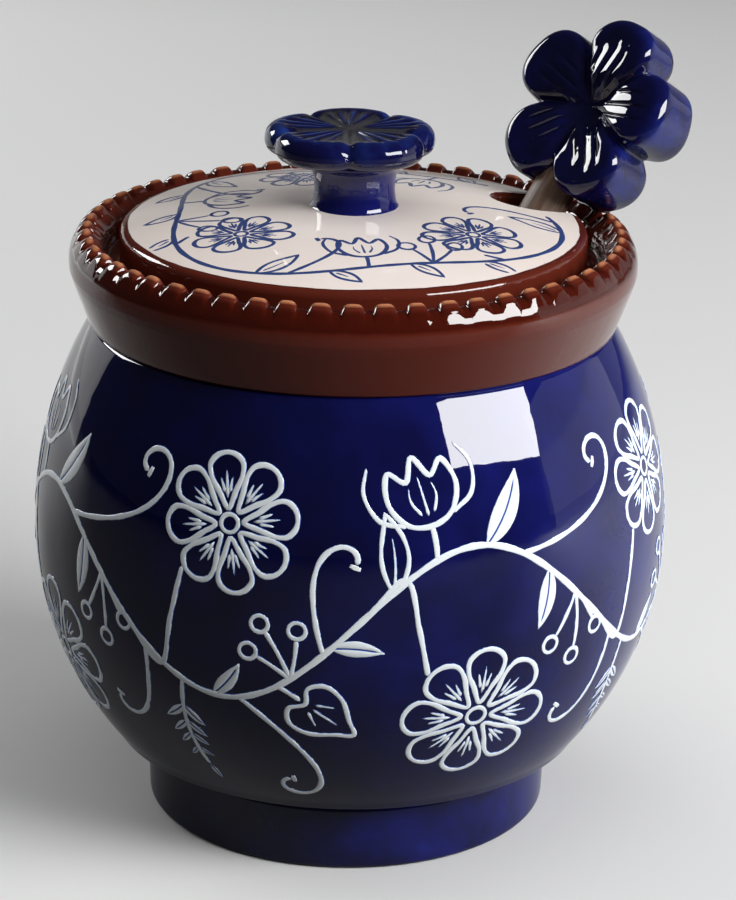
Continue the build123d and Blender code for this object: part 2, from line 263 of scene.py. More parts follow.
# %% [markdown]
# ## The floor
#
# The pot stands on pale paper. A glaze mirrors what is round it, and paper that was pale on every
# side would turn the deep blue front grey. So the camera sees the paper pale everywhere, while a
# reflection sees it so only from the right of the pot round behind it to the left. A dark card
# laid in front would do the same in a studio. Here the angle about the pot decides it, with a
# soft edge, so that no card shows from any side.

# %% The floor
PAPER_ROUGHNESS, PAPER_SHINE = 0.9, 0.1
FLOOR_NEAR, FLOOR_FAR = 0.72, 0.89         # how pale the paper is beside the pot and, as painted light, paler well behind it
FADE_START, FADE_END = 0.0, 0.7            # from where to where it changes, in metres
PALE_FROM, PALE_TO = 70, 250               # azimuths between which a reflection sees it pale
PALE_EDGE = 0.10                           # half width of that range's soft edge, in metres
DARK_SHARE = 0.16                          # the share of its paleness that a reflection sees elsewhere
FLOOR_REACH = 4.0


def facing_side(azimuth):
    """The level direction at an azimuth, where 0 is the front."""
    return Vector((sin(radians(azimuth)), -cos(radians(azimuth)), 0))


def past_edge(owner, place, side, edge, start=0.0):
    """A value from 0 to 1 as places pass start along a direction, softly by edge."""
    return between(owner, distance_along(owner, place, side), start - edge, start + edge)


def between_azimuths(owner, place, first, last, edge):
    """1 where places lie between two azimuths no more than half a turn apart, and 0 elsewhere."""
    return reckon(
        owner, "MINIMUM", past_edge(owner, place, facing_side(first + 90), edge),
        past_edge(owner, place, facing_side(last - 90), edge))


paper, paper_shader = new_material("paper_sweep")
paper_shader.inputs["Roughness"].default_value = PAPER_ROUGHNESS
paper_shader.inputs["Specular IOR Level"].default_value = PAPER_SHINE
on_paper = object_place(paper)
shown = reckon(
    paper, "MAXIMUM", add_node(paper, "ShaderNodeLightPath").outputs["Is Camera Ray"],
    between_azimuths(paper, on_paper, PALE_FROM, PALE_TO, PALE_EDGE))
depth = add_node(paper, "ShaderNodeSeparateXYZ")
join(paper, on_paper, depth.inputs["Vector"])
# The paper is painted paler towards the back, as painted light.
fade = add_node(paper, "ShaderNodeMapRange")
fade.inputs["From Min"].default_value, fade.inputs["From Max"].default_value = FADE_START, FADE_END
fade.inputs["To Min"].default_value, fade.inputs["To Max"].default_value = FLOOR_NEAR, FLOOR_FAR
join(paper, depth.outputs["Y"], fade.inputs["Value"])
shade = colour_steps(paper, shown, [(0, (DARK_SHARE,) * 3), (1, (1, 1, 1))])
join(paper, reckon(paper, "MULTIPLY", shade, fade.outputs["Result"]), paper_shader.inputs["Base Color"])

floor_mesh = bpy.data.meshes.new("floor")
floor_mesh.from_pydata(
    [(x * FLOOR_REACH, y * FLOOR_REACH, 0) for x, y in ((-1, -1), (1, -1), (1, 1), (-1, 1))],
    [], [(0, 1, 2, 3)])
floor_mesh.materials.append(paper)
floor = bpy.data.objects.new("floor", floor_mesh)
bpy.context.scene.collection.objects.link(floor)
print(f"floor: {2 * FLOOR_REACH:.0f} m square")

# %% [markdown]
# ## The room
#
# The room is dark, so that the glaze keeps its deep colour. Only a low band of the world behind the
# pot is paler, as a sweep of backdrop paper would be, and it gives the sides of the belly a light
# edge. A studio's light measured in every direction could be wrapped round instead, but two angles
# and a height are easier to move.

# %% The room
ROOM_DARK, ROOM_PALE = 0.03, 0.24
SWEEP_FROM, SWEEP_TO, SWEEP_TOP = 76, 236, 13   # the pale band's two azimuths and its top, in degrees
ROOM_EDGE = 0.03                                # half width of its soft edges

room = bpy.data.worlds.new("room")
bpy.context.scene.world = room
room.use_nodes = True
direction = add_node(room, "ShaderNodeTexCoord").outputs["Generated"]
behind = between_azimuths(room, direction, SWEEP_FROM, SWEEP_TO, ROOM_EDGE)
low = past_edge(room, direction, (0, 0, -1), ROOM_EDGE, -sin(radians(SWEEP_TOP)))
sweep = colour_steps(
    room, reckon(room, "MINIMUM", behind, low), [(0, (ROOM_DARK,) * 3), (1, (ROOM_PALE,) * 3)])
join(room, sweep, room.node_tree.nodes["Background"].inputs["Color"])
bpy.context.scene.view_settings.view_transform = "Standard"
print(f"room: {ROOM_DARK} bright, {ROOM_PALE} in the band behind the pot")

# %% [markdown]
# ## Cobalt glaze
#
# A fired glaze is clear glass over a colour. The coat of the shader is that glass: it alone gives
# the sharp reflection, so the colour beneath is left dull, or everything would be reflected twice.
# Cobalt is nearly black where it lies thick and bright blue where it is thin. Here it thins slowly
# towards the top. It is also painted lighter towards the right, where the key window falls, and darker
# towards the left, as painted light and shade. Clouds and small mottles lie over that. One value
# carries all of it into one colour ramp, which is simpler than mixing several materials. Very low
# bumps keep a reflection from being perfectly straight.

# %% Cobalt glaze
INK, COBALT, BLUE = (0.0030, 0.0030, 0.020), (0.0035, 0.004, 0.045), (0.006, 0.008, 0.105)
BRIGHT = (0.010, 0.022, 0.200)
BODY_ROUGHNESS, GLASS_IOR = 0.5, 1.5
SIDE_LIGHT_AND_THINNING = (4.2, 0, 2.0)                   # painted lighter to the right as painted light, and thinning towards the top, in steps to a metre
MOTTLE_SCALE, MOTTLE_SHARE = 130, 0.26     # small patches, as thick and thin brush loads leave them


def coat(shader, roughness=0.02):
    """Gives a shader the clear, hard skin of a fired glaze."""
    shader.inputs["Roughness"].default_value = BODY_ROUGHNESS
    shader.inputs["Specular IOR Level"].default_value = 0
    shader.inputs["Coat Weight"].default_value = 1
    shader.inputs["Coat Roughness"].default_value = roughness
    shader.inputs["Coat IOR"].default_value = GLASS_IOR


def waves(material, shader, scale, detail, strength):
    """The very low waves of a fired skin."""
    bumps(material, shader, cloudy(material, scale, detail), strength)


def cobalt_glaze(name, cloud_scale, cloud_share, start):
    """The blue of the pot. Its clouds weigh cloud_share beside the drift over the whole pot."""
    material, shader = new_material(name)
    # Along X the drift is painted light and shade, lighter on the right and darker on the left; along Z the
    # glaze thins towards the top.
    drift = sum_of(
        material, scaled(material, distance_along(material, object_place(material), SIDE_LIGHT_AND_THINNING), 1, start),
        cloudy(material, cloud_scale), cloud_share, -cloud_share / 2)
    mottles = cloudy(material, MOTTLE_SCALE, detail=4)
    drift = sum_of(material, drift, mottles, MOTTLE_SHARE, -MOTTLE_SHARE / 2)
    steps = [(0.28, INK), (0.52, COBALT), (0.78, BLUE), (1.0, BRIGHT)]
    join(material, colour_steps(material, drift, steps), shader.inputs["Base Color"])
    coat(shader)
    waves(material, shader, scale=150, detail=1.5, strength=0.22)
    return material


cobalt = cobalt_glaze("cobalt_glaze", cloud_scale=32, cloud_share=0.55, start=0.39)
cobalt_foot = cobalt_glaze("cobalt_glaze_foot", cloud_scale=75, cloud_share=1.0, start=0.50)
print("glazes:", cobalt.name, cobalt_foot.name)

# %% [markdown]
# ## Pooled glaze on the carvings
#
# On carved petals the glaze runs off what stands high and gathers in the grooves. A shader can
# guess at edges, but only in one renderer and only roughly. So whatever makes a carved mesh also
# writes how thin and how dull the glaze is on each point, and the shader reads those two values.
# The knob is held often: dust dulls the middle of its face and greys it, and that grey also paints
# the face's grey sheen. Its ridges are worn to a lighter blue.

# %% Pooled glaze on the carvings
WORN_BLUE = (0.014, 0.040, 0.210)
# A grey for dust on the knob's face, which also paints the face's grey sheen.
DUST_AND_SHEEN = (0.030, 0.030, 0.036)
CLEAN_ROUGHNESS = 0.02


def pooled_glaze(name, steps, clouds, dullness):
    """Cobalt that runs off what stands high. Its colour and its dulled places are values on the points."""
    material, shader = new_material(name)
    drift = sum_of(material, attribute(material, "thin_and_lit"), cloudy(material, 110), clouds, -clouds / 2)
    join(material, colour_steps(material, drift, steps), shader.inputs["Base Color"])
    coat(shader)
    dull = scaled(material, attribute(material, "dull"), dullness, CLEAN_ROUGHNESS)
    join(material, dull, shader.inputs["Coat Roughness"])
    waves(material, shader, scale=260, detail=2, strength=0.25)
    return material


pooled = pooled_glaze(
    "cobalt_glaze_pooled", [(0.25, INK), (0.60, COBALT), (1.0, BRIGHT)], clouds=1.1, dullness=0)
pooled_worn = pooled_glaze(
    "cobalt_glaze_worn", [(0.05, DUST_AND_SHEEN), (0.30, INK), (0.55, COBALT), (0.90, WORN_BLUE)],
    clouds=0.8, dullness=0.30)
print("glazes:", pooled.name, pooled_worn.name)

# %% [markdown]
# ## Brown glaze
#
# The collar's red-brown turns deep where it pools and amber where it runs off the beads, so it too
# reads how thin it lies from the points. That value also paints light and shade on the collar: the
# beads' amber is lighter as painted sheen, the gaps are deepest partly as painted shade, and the
# inner wall is lighter as painted light. The ring under the lid has no beads, and soft clouds alone
# move its colour. One helper makes both and is told what the colour follows.

# %% Brown glaze
# The amber is lighter than the glaze's own, as painted sheen on the bead tops.
BROWN_DEEP, BROWN, AMBER_AND_SHEEN = (0.048, 0.005, 0.002), (0.089, 0.014, 0.0075), (0.58, 0.23, 0.11)


def brown_glaze(name, factor_of, steps, roughness):
    """A red-brown glaze. factor_of makes the value that moves its colour through the steps."""
    material, shader = new_material(name)
    join(material, colour_steps(material, factor_of(material), steps), shader.inputs["Base Color"])
    coat(shader, roughness)
    waves(material, shader, scale=220, detail=2, strength=0.25)
    return material


rim_brown = brown_glaze(
    "brown_glaze_rim",
    lambda m: sum_of(m, attribute(m, "thin_and_lit"), cloudy(m, 260, detail=2), share=0.12, offset=-0.04),
    [(0.04, BROWN_DEEP), (0.20, BROWN), (0.42, BROWN), (0.95, AMBER_AND_SHEEN)], roughness=0.03)
lid_brown = brown_glaze(
    "brown_glaze_lid", lambda m: cloudy(m, 90), [(0.3, BROWN_DEEP), (0.7, BROWN)], roughness=0.04)
print("glazes:", rim_brown.name, lid_brown.name)

# %% [markdown]
# ## Cream glaze with a brown band
#
# The lid is glazed cream, and its edge is banded brown on the wheel by hand, so the line between
# the two wavers and darkens where they overlap. The lid's plate is one CAD piece that isn't
# divided there. So one material finds the band by itself: it takes in all that lies past a radius,
# and every steep face.

# %% Cream glaze with a brown band
CREAM, CREAM_WARM, OVERLAP = (0.86, 0.775, 0.73), (0.83, 0.735, 0.68), (0.20, 0.13, 0.14)
BAND_RADIUS, BAND_WOBBLE = 42.7, 0.8
BAND_INNER, BAND_OUTER = BAND_RADIUS - 0.35, BAND_RADIUS + 0.15   # its soft edge
UPRIGHT, UPRIGHT_EDGE = 0.80, 0.04         # faces steeper than this take the brown of the band
MIX_A, MIX_B, MIX_RESULT = 6, 7, 2         # where a mix of colours keeps its sockets

cream, cream_shader = new_material("cream_glaze")
flat = add_node(cream, "ShaderNodeVectorMath", operation="MULTIPLY")
flat.inputs[1].default_value = (1, 1, 0)
join(cream, object_place(cream), flat.inputs[0])
away = add_node(cream, "ShaderNodeVectorMath", operation="LENGTH")
join(cream, flat.outputs["Vector"], away.inputs[0])
wobbling = sum_of(
    cream, away.outputs["Value"], cloudy(cream, 130, detail=2), BAND_WOBBLE * MM, -BAND_WOBBLE * MM / 2)
tilt = add_node(cream, "ShaderNodeSeparateXYZ")
join(cream, add_node(cream, "ShaderNodeNewGeometry").outputs["Normal"], tilt.inputs["Vector"])
band = reckon(
    cream, "MAXIMUM", between(cream, wobbling, BAND_INNER * MM, BAND_OUTER * MM),
    between(cream, tilt.outputs["Z"], UPRIGHT + UPRIGHT_EDGE, UPRIGHT - UPRIGHT_EDGE))
body_colour = colour_steps(cream, cloudy(cream, 40), [(0.35, CREAM_WARM), (0.65, CREAM)])
band_colour = colour_steps(cream, band, [(0.0, CREAM), (0.30, OVERLAP), (0.60, BROWN_DEEP), (1.0, BROWN)])
mixed = add_node(cream, "ShaderNodeMix", data_type="RGBA")
join(cream, between(cream, band, 0.0, 0.25), mixed.inputs["Factor"])
join(cream, body_colour, mixed.inputs[MIX_A])
join(cream, band_colour, mixed.inputs[MIX_B])
join(cream, mixed.outputs[MIX_RESULT], cream_shader.inputs["Base Color"])
coat(cream_shader, roughness=0.035)
waves(cream, cream_shader, scale=120, detail=1.5, strength=0.2)
print("glaze:", cream.name)

# %% [markdown]
# ## Turned wood
#
# The dipper is plain turned wood whose fibres run along the stick. The noise is stretched that way
# by scaling it down along one axis. The stick leans, so the grain is read from where each point lay
# before it was leant, a place that the mesh carries as "along_grain".

# %% Turned wood
WOOD_DARK, WOOD, WOOD_PALE = (0.100, 0.058, 0.038), (0.155, 0.096, 0.066), (0.21, 0.140, 0.100)
ALONG_FIBRES = (1, 1, 0.06)

wood, wood_shader = new_material("turned_wood")
grain_place = add_node(wood, "ShaderNodeAttribute", attribute_name="along_grain")
grain_size = add_node(wood, "ShaderNodeMapping")
grain_size.inputs["Scale"].default_value = ALONG_FIBRES
grain = add_node(wood, "ShaderNodeTexNoise", Scale=1.6, Detail=5, Roughness=0.6)
join(wood, grain_place.outputs["Vector"], grain_size.inputs["Vector"])
join(wood, grain_size.outputs["Vector"], grain.inputs["Vector"])
join(wood, colour_steps(wood, grain.outputs["Fac"], [(0.32, WOOD_DARK), (0.5, WOOD), (0.68, WOOD_PALE)]),
     wood_shader.inputs["Base Color"])
wood_shader.inputs["Roughness"].default_value = 0.5
bumps(wood, wood_shader, grain.outputs["Fac"], strength=0.5)
print("wood:", wood.name)

# %% [markdown]
# ## White slip and blue brush colour
#
# Slip is liquid clay trailed on in lines. It is white in the middle of a line, and the blue glaze
# stains its thin edges. The brushwork on the lid is paint, dark where the brush was full and pale
# along its edge. Both read how far a point lies from the edge of its stroke, and the slip's solid
# leaves also read the distance from their open vein. The drawn lines carry both, in millimetres.

# %% White slip and blue brush colour
SLIP_WHITE, SLIP_PALE, SLIP_BLUE = (0.80, 0.85, 0.88), (0.30, 0.46, 0.72), (0.02, 0.05, 0.30)
BRUSH_FULL, BRUSH_HALF, BRUSH_DRY = (0.034, 0.060, 0.185), (0.085, 0.125, 0.30), (0.34, 0.38, 0.50)

slip, slip_shader = new_material("white_slip")
worn = sum_of(slip, attribute(slip, "from_edge"), cloudy(slip, 700), share=0.34, offset=-0.17)
off_vein = between(slip, attribute(slip, "from_vein"), 0.10, 0.26)
covered = reckon(slip, "MULTIPLY", between(slip, worn, 0.02, 0.20), off_vein)
join(slip, colour_steps(slip, covered, [(0.0, SLIP_BLUE), (0.45, SLIP_PALE), (0.85, SLIP_WHITE)]),
     slip_shader.inputs["Base Color"])
coat(slip_shader, roughness=0.03)

brush, brush_shader = new_material("blue_brush")
load = sum_of(brush, attribute(brush, "from_edge"), cloudy(brush, 600), share=0.4, offset=-0.12)
join(brush, colour_steps(brush, load, [(0.0, BRUSH_DRY), (0.12, BRUSH_HALF), (0.30, BRUSH_FULL)]),
     brush_shader.inputs["Base Color"])
coat(brush_shader, roughness=0.035)
print("drawing colours:", slip.name, brush.name)

# %% [markdown]
# ## Turning
#
# The foot, the belly and the knob's stem are thrown, so each is one outline swept round the pot's
# axis. A modifier could sweep it, but thrown clay is never quite true. Here the rings are made in
# code, so that every point can be pushed in or out by a slow ripple of a tenth of a millimetre.
# That hardly shows in the shape, and it bends the reflections as a hand-thrown wall does.

# %% Turning
AROUND = 288
ROUND_STEPS = 6
RIPPLE = 0.10
CALM_RADIUS = 20                           # nearer the axis the ripple fades away
WELD = 1e-6                                # points nearer than this become one, in metres


def softened(corners, run=1.5):
    """An outline through (radius, height, rounding) corners, with points every run along it."""
    points = []
    for number, (radius, height, soft) in enumerate(corners):
        here = np.array((radius, height), float)
        if not soft or number in (0, len(corners) - 1):
            points.append(here)
            continue
        back = np.array(corners[number - 1][:2]) - here
        ahead = np.array(corners[number + 1][:2]) - here
        back, ahead = back / np.linalg.norm(back), ahead / np.linalg.norm(ahead)
        half = acos(np.clip(back @ ahead, -1, 1)) / 2
        middle = (back + ahead) / np.linalg.norm(back + ahead)
        centre = here + middle * soft / sin(half)
        side = ahead - middle * (ahead @ middle)
        side /= np.linalg.norm(side)
        spread = pi / 2 - half
        for step in np.linspace(-spread, spread, ROUND_STEPS + 1):
            points.append(centre + soft * (-middle * cos(step) + side * sin(step)))
    outline = [points[0]]
    for point in points[1:]:
        pieces = max(1, int(np.linalg.norm(point - outline[-1]) / run))
        outline += [outline[-1] + (point - outline[-1]) * k / pieces for k in range(1, pieces)] + [point]
    return outline


def ripple(angle, height):
    """How far a thrown wall strays from true, from -RIPPLE to RIPPLE, in millimetres."""
    return RIPPLE * (
        0.45 * np.sin(2 * angle + 0.7 + height / 31) + 0.30 * np.sin(3 * angle - 1.1 + height / 17)
        + 0.25 * np.sin(5 * angle + 2.0 - height / 11))


def smooth_piece(name, points, faces, material, values, weld=False):
    """A smooth piece from points in millimetres, with named values on its points."""
    mesh = bpy.data.meshes.new(name)
    mesh.from_pydata((points.reshape(-1, 3) * MM).tolist(), [], faces)
    for title, numbers in values.items():
        layer = mesh.attributes.new(title, "FLOAT", "POINT")
        layer.data.foreach_set("value", np.ravel(numbers).astype(np.float32))
    if weld:
        work = bmesh.new()
        work.from_mesh(mesh)
        bmesh.ops.remove_doubles(work, verts=work.verts, dist=WELD)
        bmesh.ops.recalc_face_normals(work, faces=work.faces)
        work.to_mesh(mesh)
        work.free()
    mesh.polygons.foreach_set("use_smooth", [True] * len(mesh.polygons))
    mesh.materials.append(material)
    piece = bpy.data.objects.new(name, mesh)
    bpy.context.scene.collection.objects.link(piece)
    return piece


def mesh_of_rings(name, rings, material, closed=False, values=None):
    """A smooth piece over rings of points in millimetres. A ring whose points coincide is a pole."""
    rings = np.array(rings)
    count, columns = rings.shape[:2]
    faces = []
    for r in range(count if closed else count - 1):
        low, high = r * columns, (r + 1) % count * columns
        for c in range(columns):
            d = (c + 1) % columns
            faces.append((low + c, low + d, high + d, high + c))
    return smooth_piece(name, rings, faces, material, values or {}, weld=True)


def settle(piece, body, slot, *nodes):
    """Hangs a piece from the empty of the body it rides on, and hides the CAD nodes that it stands for. The
    slot is not used.
    """
    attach(piece, body)
    if nodes:
        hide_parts(*nodes)
    print(f"{piece.name}: {len(piece.data.polygons)} faces")


def thrown(name, outline, material, closed=False, shake=1.0):
    """An outline of (radius, height) swept round the pot's axis, with the wall's ripple."""
    radius, height = np.array(outline).T
    angle = np.linspace(0, 2 * pi, AROUND, endpoint=False)
    stray = shake * ripple(angle[None, :], height[:, None]) * np.clip(radius / CALM_RADIUS, 0, 1)[:, None]
    reach = radius[:, None] + stray
    rings = np.stack(
        [reach * np.cos(angle), reach * np.sin(angle), np.repeat(height[:, None], AROUND, 1)], -1)
    return mesh_of_rings(name, rings, material, closed)


# %% [markdown]
# ## The belly
#
# The belly is a thrown ball, a little fuller below its widest line than above. Two half ellipses
# that meet at that line follow it well, and their formula later tells where the drawing lies. The
# inside is another such pair, so that the pot is hollow when the lid is lifted. Below, the wall
# tucks in to the foot.

# %% The belly
BELLY_RADIUS = node_radius("bowl")
SEAM_HEIGHT, BELLY_BOTTOM = node_top("bowl"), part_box("bowl")[0].z / MM
WIDEST_HEIGHT = 57.0
HALF_ABOVE, HALF_BELOW = 70.0, 62.0        # half heights of the belly's two ellipses
INSIDE_ABOVE, INSIDE_BELOW = 64.5, 52.0
WALL = 5.5
FOOT_HEIGHT, FLOOR_HEIGHT = node_top("foot_ring"), 9.5
TURN_HEIGHT, TURN_TOP = 16.2, 17.8         # where the belly tucks in, and where it is round again
TUCK = 4.6                                 # how far it tucks in
FOOT_INNER = 33.7
RELIEF = 0.13                              # how far the slip drawing stands out of the glaze
GLAZE_RADIUS = BELLY_RADIUS - RELIEF - RIPPLE
OUTSIDE_ROWS, INSIDE_ROWS = 90, 40


def belly_radius(height):
    """Radius of the belly's glazed outside at a height."""
    half = np.where(np.asarray(height) > WIDEST_HEIGHT, HALF_ABOVE, HALF_BELOW)
    return GLAZE_RADIUS * np.sqrt(1 - ((height - WIDEST_HEIGHT) / half) ** 2)


def inside_radius(height):
    """Radius of the belly's inside at a height."""
    half = np.where(np.asarray(height) > WIDEST_HEIGHT, INSIDE_ABOVE, INSIDE_BELOW)
    return (BELLY_RADIUS - WALL) * np.sqrt(1 - ((height - WIDEST_HEIGHT) / half) ** 2)


outside_heights = np.linspace(TURN_TOP, SEAM_HEIGHT, OUTSIDE_ROWS)
inside_heights = np.linspace(FLOOR_HEIGHT, SEAM_HEIGHT, INSIDE_ROWS)
turn_radius = float(belly_radius(TURN_HEIGHT))
belly_outline = softened(
    [(0, FLOOR_HEIGHT, 0), (float(inside_radius(FLOOR_HEIGHT)) - 0.01, FLOOR_HEIGHT, 0)], run=4)
belly_outline += [np.array((float(inside_radius(h)), h)) for h in inside_heights[1:]]
belly_outline += [np.array((float(belly_radius(h)), h)) for h in outside_heights[::-1]]
belly_outline += softened([
    (float(belly_radius(TURN_HEIGHT + 1.2)), TURN_HEIGHT + 1.2, 0), (turn_radius, TURN_HEIGHT - 0.4, 1.3),
    (turn_radius - TUCK, FOOT_HEIGHT + 0.5, 1.6), (FOOT_INNER, FOOT_HEIGHT + 0.1, 0),
    (FOOT_INNER, BELLY_BOTTOM, 0), (0, BELLY_BOTTOM, 0)], run=2)
settle(thrown("belly", belly_outline, cobalt), "pot", "blue_glaze", "bowl")

# %% [markdown]
# ## The foot
#
# The foot is a ring that the potter turns on the upside-down pot, with soft edges where the glaze
# is wiped. It is thrown here as a closed outline, apart from the belly, so that its glaze can have
# clouds of its own.

# %% The foot
FOOT_RADIUS, FOOT_TAPER = node_radius("foot_ring"), 0.5
FOOT_MIDDLE, FOOT_TOP = FOOT_INNER + 2.8, FOOT_HEIGHT + 0.55
foot_outline = softened([
    (FOOT_MIDDLE, 0, 0), (FOOT_RADIUS - FOOT_TAPER, 0, 1.2), (FOOT_RADIUS - 0.05, FOOT_HEIGHT - 1.2, 0.8),
    (FOOT_RADIUS - 0.9, FOOT_TOP, 1.2), (FOOT_MIDDLE, FOOT_TOP, 0.6),
    (FOOT_INNER + 0.01, FOOT_HEIGHT + 0.3, 0), (FOOT_INNER + 0.01, 0, 1.0), (FOOT_MIDDLE, 0, 0)])[:-1]
settle(thrown("foot", foot_outline, cobalt_foot, closed=True, shake=0.4), "pot", "blue_glaze", "foot_ring")

# %% [markdown]
# ## The beaded rim
#
# The potter cuts the soft rim into teeth and rounds each one with a finger, so the front of a bead
# runs on into the collar, and only the gaps between beads are cut in. Separate balls on a ring
# would look stuck on. So the rim is one mesh between two sections, one through the middle of a gap
# and one over the crest of a bead, and each column of points takes its share of the two. The beads
# stray a little in place, width and height. The glaze runs off the crests and pools in the gaps,
# and a value on the points tells the shader how thin it is. The same value paints light and shade:
# the amber of the crests is lighter as painted sheen, the gaps keep the deepest brown partly as
# painted shade, and the inner wall is painted lighter as painted light.

# %% Smooth lines through points
def extended(points):
    """Points with one more at each end, in line with the last two."""
    return np.vstack([2 * points[:1] - points[1:2], points, 2 * points[-1:] - points[-2:-1]])


def curve_part(a, b, c, d, steps):
    """Points on a smooth curve from b until just before c, where a comes before and d after."""
    return [
        0.5 * (2 * b + (c - a) * t + (2 * a - 5 * b + 4 * c - d) * t * t + (3 * b - a - 3 * c + d) * t ** 3)
        for t in np.arange(steps) / steps]


def spline(points, steps):
    """A smooth line through points, with some steps from each to the next."""
    points = np.array(points, float)
    ends = extended(points)
    line = []
    for a, b, c, d in zip(ends, ends[1:], ends[2:], ends[3:]):
        line += curve_part(a, b, c, d, steps)
    return np.array(line + [points[-1]])


# %% The rim's two sections
SEAM_RADIUS = float(belly_radius(SEAM_HEIGHT)) + 0.75
COLLAR_RADIUS, BEAD_TOP = node_radius("rim_collar"), node_top("bead_ring")
COLLAR_BREAK, LEDGE_RADIUS = 106.4, 41.8
SHOULDER_HEIGHT, SHOULDER_IN = 109.3, 0.12 # where the sections start, and how far inside the collar
GALLERY_RADIUS, GALLERY_TOP = 46.6, 110.6
LEDGE_HEIGHT, LEDGE_THICKNESS = 108.5, 4.5
SECTION_STEPS = 4

# each section runs from the shoulder over the top to the gallery, as (radius, height)
shoulder = [
    (COLLAR_RADIUS - SHOULDER_IN, SHOULDER_HEIGHT), (COLLAR_RADIUS - 0.20, 110.3),
    (COLLAR_RADIUS - 0.38, 111.2)]
gap_section = spline(shoulder + [
    (COLLAR_RADIUS - 0.68, 112.0), (COLLAR_RADIUS - 1.08, 112.7), (COLLAR_RADIUS - 1.55, 113.25),
    (COLLAR_RADIUS - 2.10, 113.62), (51.0, 113.78), (50.3, 113.82), (49.7, 113.75), (49.1, 113.5),
    (48.5, 113.05), (47.2, 112.0), (GALLERY_RADIUS, GALLERY_TOP)], SECTION_STEPS)
bead_section = spline(shoulder + [
    (COLLAR_RADIUS - 0.66, 112.05), (COLLAR_RADIUS - 1.03, 112.78), (COLLAR_RADIUS - 1.42, 113.50),
    (COLLAR_RADIUS - 1.84, 114.2), (51.3, BEAD_TOP - 0.45), (50.6, BEAD_TOP - 0.08), (50.0, BEAD_TOP),
    (49.4, BEAD_TOP - 0.45), (48.7, 113.6), (47.3, 112.1), (GALLERY_RADIUS, GALLERY_TOP)], SECTION_STEPS)
print(f"a bead stands {bead_section[:, 1].max() - gap_section[:, 1].max():.2f} mm above the gaps")

# %% Columns round the rim
BEAD_COUNT = 56
BEAD_SHARE = 0.70                          # of each step that a bead takes at its foot
BEAD_COLUMNS, GAP_COLUMNS = 13, 3
NARROWING = 0.34                           # how much narrower a bead is where it runs out
PLACE_STRAY = 0.05                         # of a step
SECTION_ROWS = len(gap_section)

narrowing = 1 - NARROWING * np.abs(np.linspace(-1, 1, SECTION_ROWS)) ** 3
across_bead = np.sin(np.linspace(-pi / 2, pi / 2, BEAD_COLUMNS))
fullness = (1 - np.abs(across_bead) ** 4) ** 0.75
step = 2 * pi / BEAD_COUNT
chance = random.Random(BEAD_COUNT)
shifts = [chance.uniform(-PLACE_STRAY, PLACE_STRAY) * step for _ in range(BEAD_COUNT)]
halves = [step / 2 * BEAD_SHARE * chance.uniform(0.92, 1.05) for _ in range(BEAD_COUNT)]
swells = [chance.uniform(0.90, 1.0) for _ in range(BEAD_COUNT)]
rim_azimuth, rim_share = [], []
for bead in range(BEAD_COUNT):
    after = (bead + 1) % BEAD_COUNT
    middle_here = bead * step + shifts[bead]
    middle_next = (bead + 1) * step + shifts[after]
    rim_azimuth += [middle_here + halves[bead] * narrowing * a for a in across_bead]
    rim_share += list(fullness * swells[bead])
    gap_start, gap_end = middle_here + halves[bead] * narrowing, middle_next - halves[after] * narrowing
    for part in np.linspace(0, 1, GAP_COLUMNS + 2)[1:-1]:
        rim_azimuth.append(gap_start + (gap_end - gap_start) * part)
        rim_share.append(0.0)
rim_azimuth, rim_share = np.array(rim_azimuth).T, np.array(rim_share)
print(f"{BEAD_COUNT} beads, {step / 2 * BEAD_SHARE * COLLAR_RADIUS * 2:.1f} mm wide at the foot")

# %% The collar
CREST_RADIUS, CREST_WIDTH, CREST_SHEEN_AND_THIN = 50.3, 1.05, 0.90   # where the glaze runs off a bead, its amber lighter as painted sheen
BAND_THIN_AND_LIGHT = 0.22                           # how thin it lies on the walls below the beads, and the inner wall's lighter brown, which is painted light
WALL_TOP, WALL_FADE = 111.0, 0.9           # where the outer wall begins, downwards
INNER_WALL, INNER_FADE = 49.4, 0.8         # where the inner wall begins, inwards; its lighter brown is painted light

section = gap_section[:, None, :] + rim_share[None, :, None] * (bead_section - gap_section)[:, None, :]
reach, height = section[..., 0], section[..., 1]
crest = rim_share * np.exp(-((reach - CREST_RADIUS) / CREST_WIDTH) ** 2)
outer_wall = np.clip((WALL_TOP - height) / WALL_FADE, 0, 1) * (reach > CREST_RADIUS)
lit_inner_wall = np.clip((INNER_WALL - reach) / INNER_FADE, 0, 1)
rim_rows = [np.stack([reach * np.cos(rim_azimuth), reach * np.sin(rim_azimuth), height], -1)]
# The gaps stay deepest brown, partly pooled glaze and partly painted shade; the inner wall takes the walls'
# lighter brown as painted light.
rim_thin_and_lit = [CREST_SHEEN_AND_THIN * crest + BAND_THIN_AND_LIGHT * np.maximum(outer_wall, lit_inner_wall)]
plain_azimuth = rim_azimuth[0]
hidden = softened([
    (GALLERY_RADIUS, GALLERY_TOP, 0), (GALLERY_RADIUS, LEDGE_HEIGHT, 0.6), (LEDGE_RADIUS, LEDGE_HEIGHT, 0.8),
    (LEDGE_RADIUS, LEDGE_HEIGHT - LEDGE_THICKNESS, 0), (LEDGE_RADIUS + 1.2, SEAM_HEIGHT, 0),
    (SEAM_RADIUS - 0.1, SEAM_HEIGHT, 0.7), (COLLAR_RADIUS - 0.62, COLLAR_BREAK, 2.5),
    (COLLAR_RADIUS - 0.16, COLLAR_BREAK + 1.6, 2.5),
    (COLLAR_RADIUS - SHOULDER_IN, SHOULDER_HEIGHT, 0)])[1:-1]
round_about = np.stack([np.cos(plain_azimuth), np.sin(plain_azimuth)], -1)
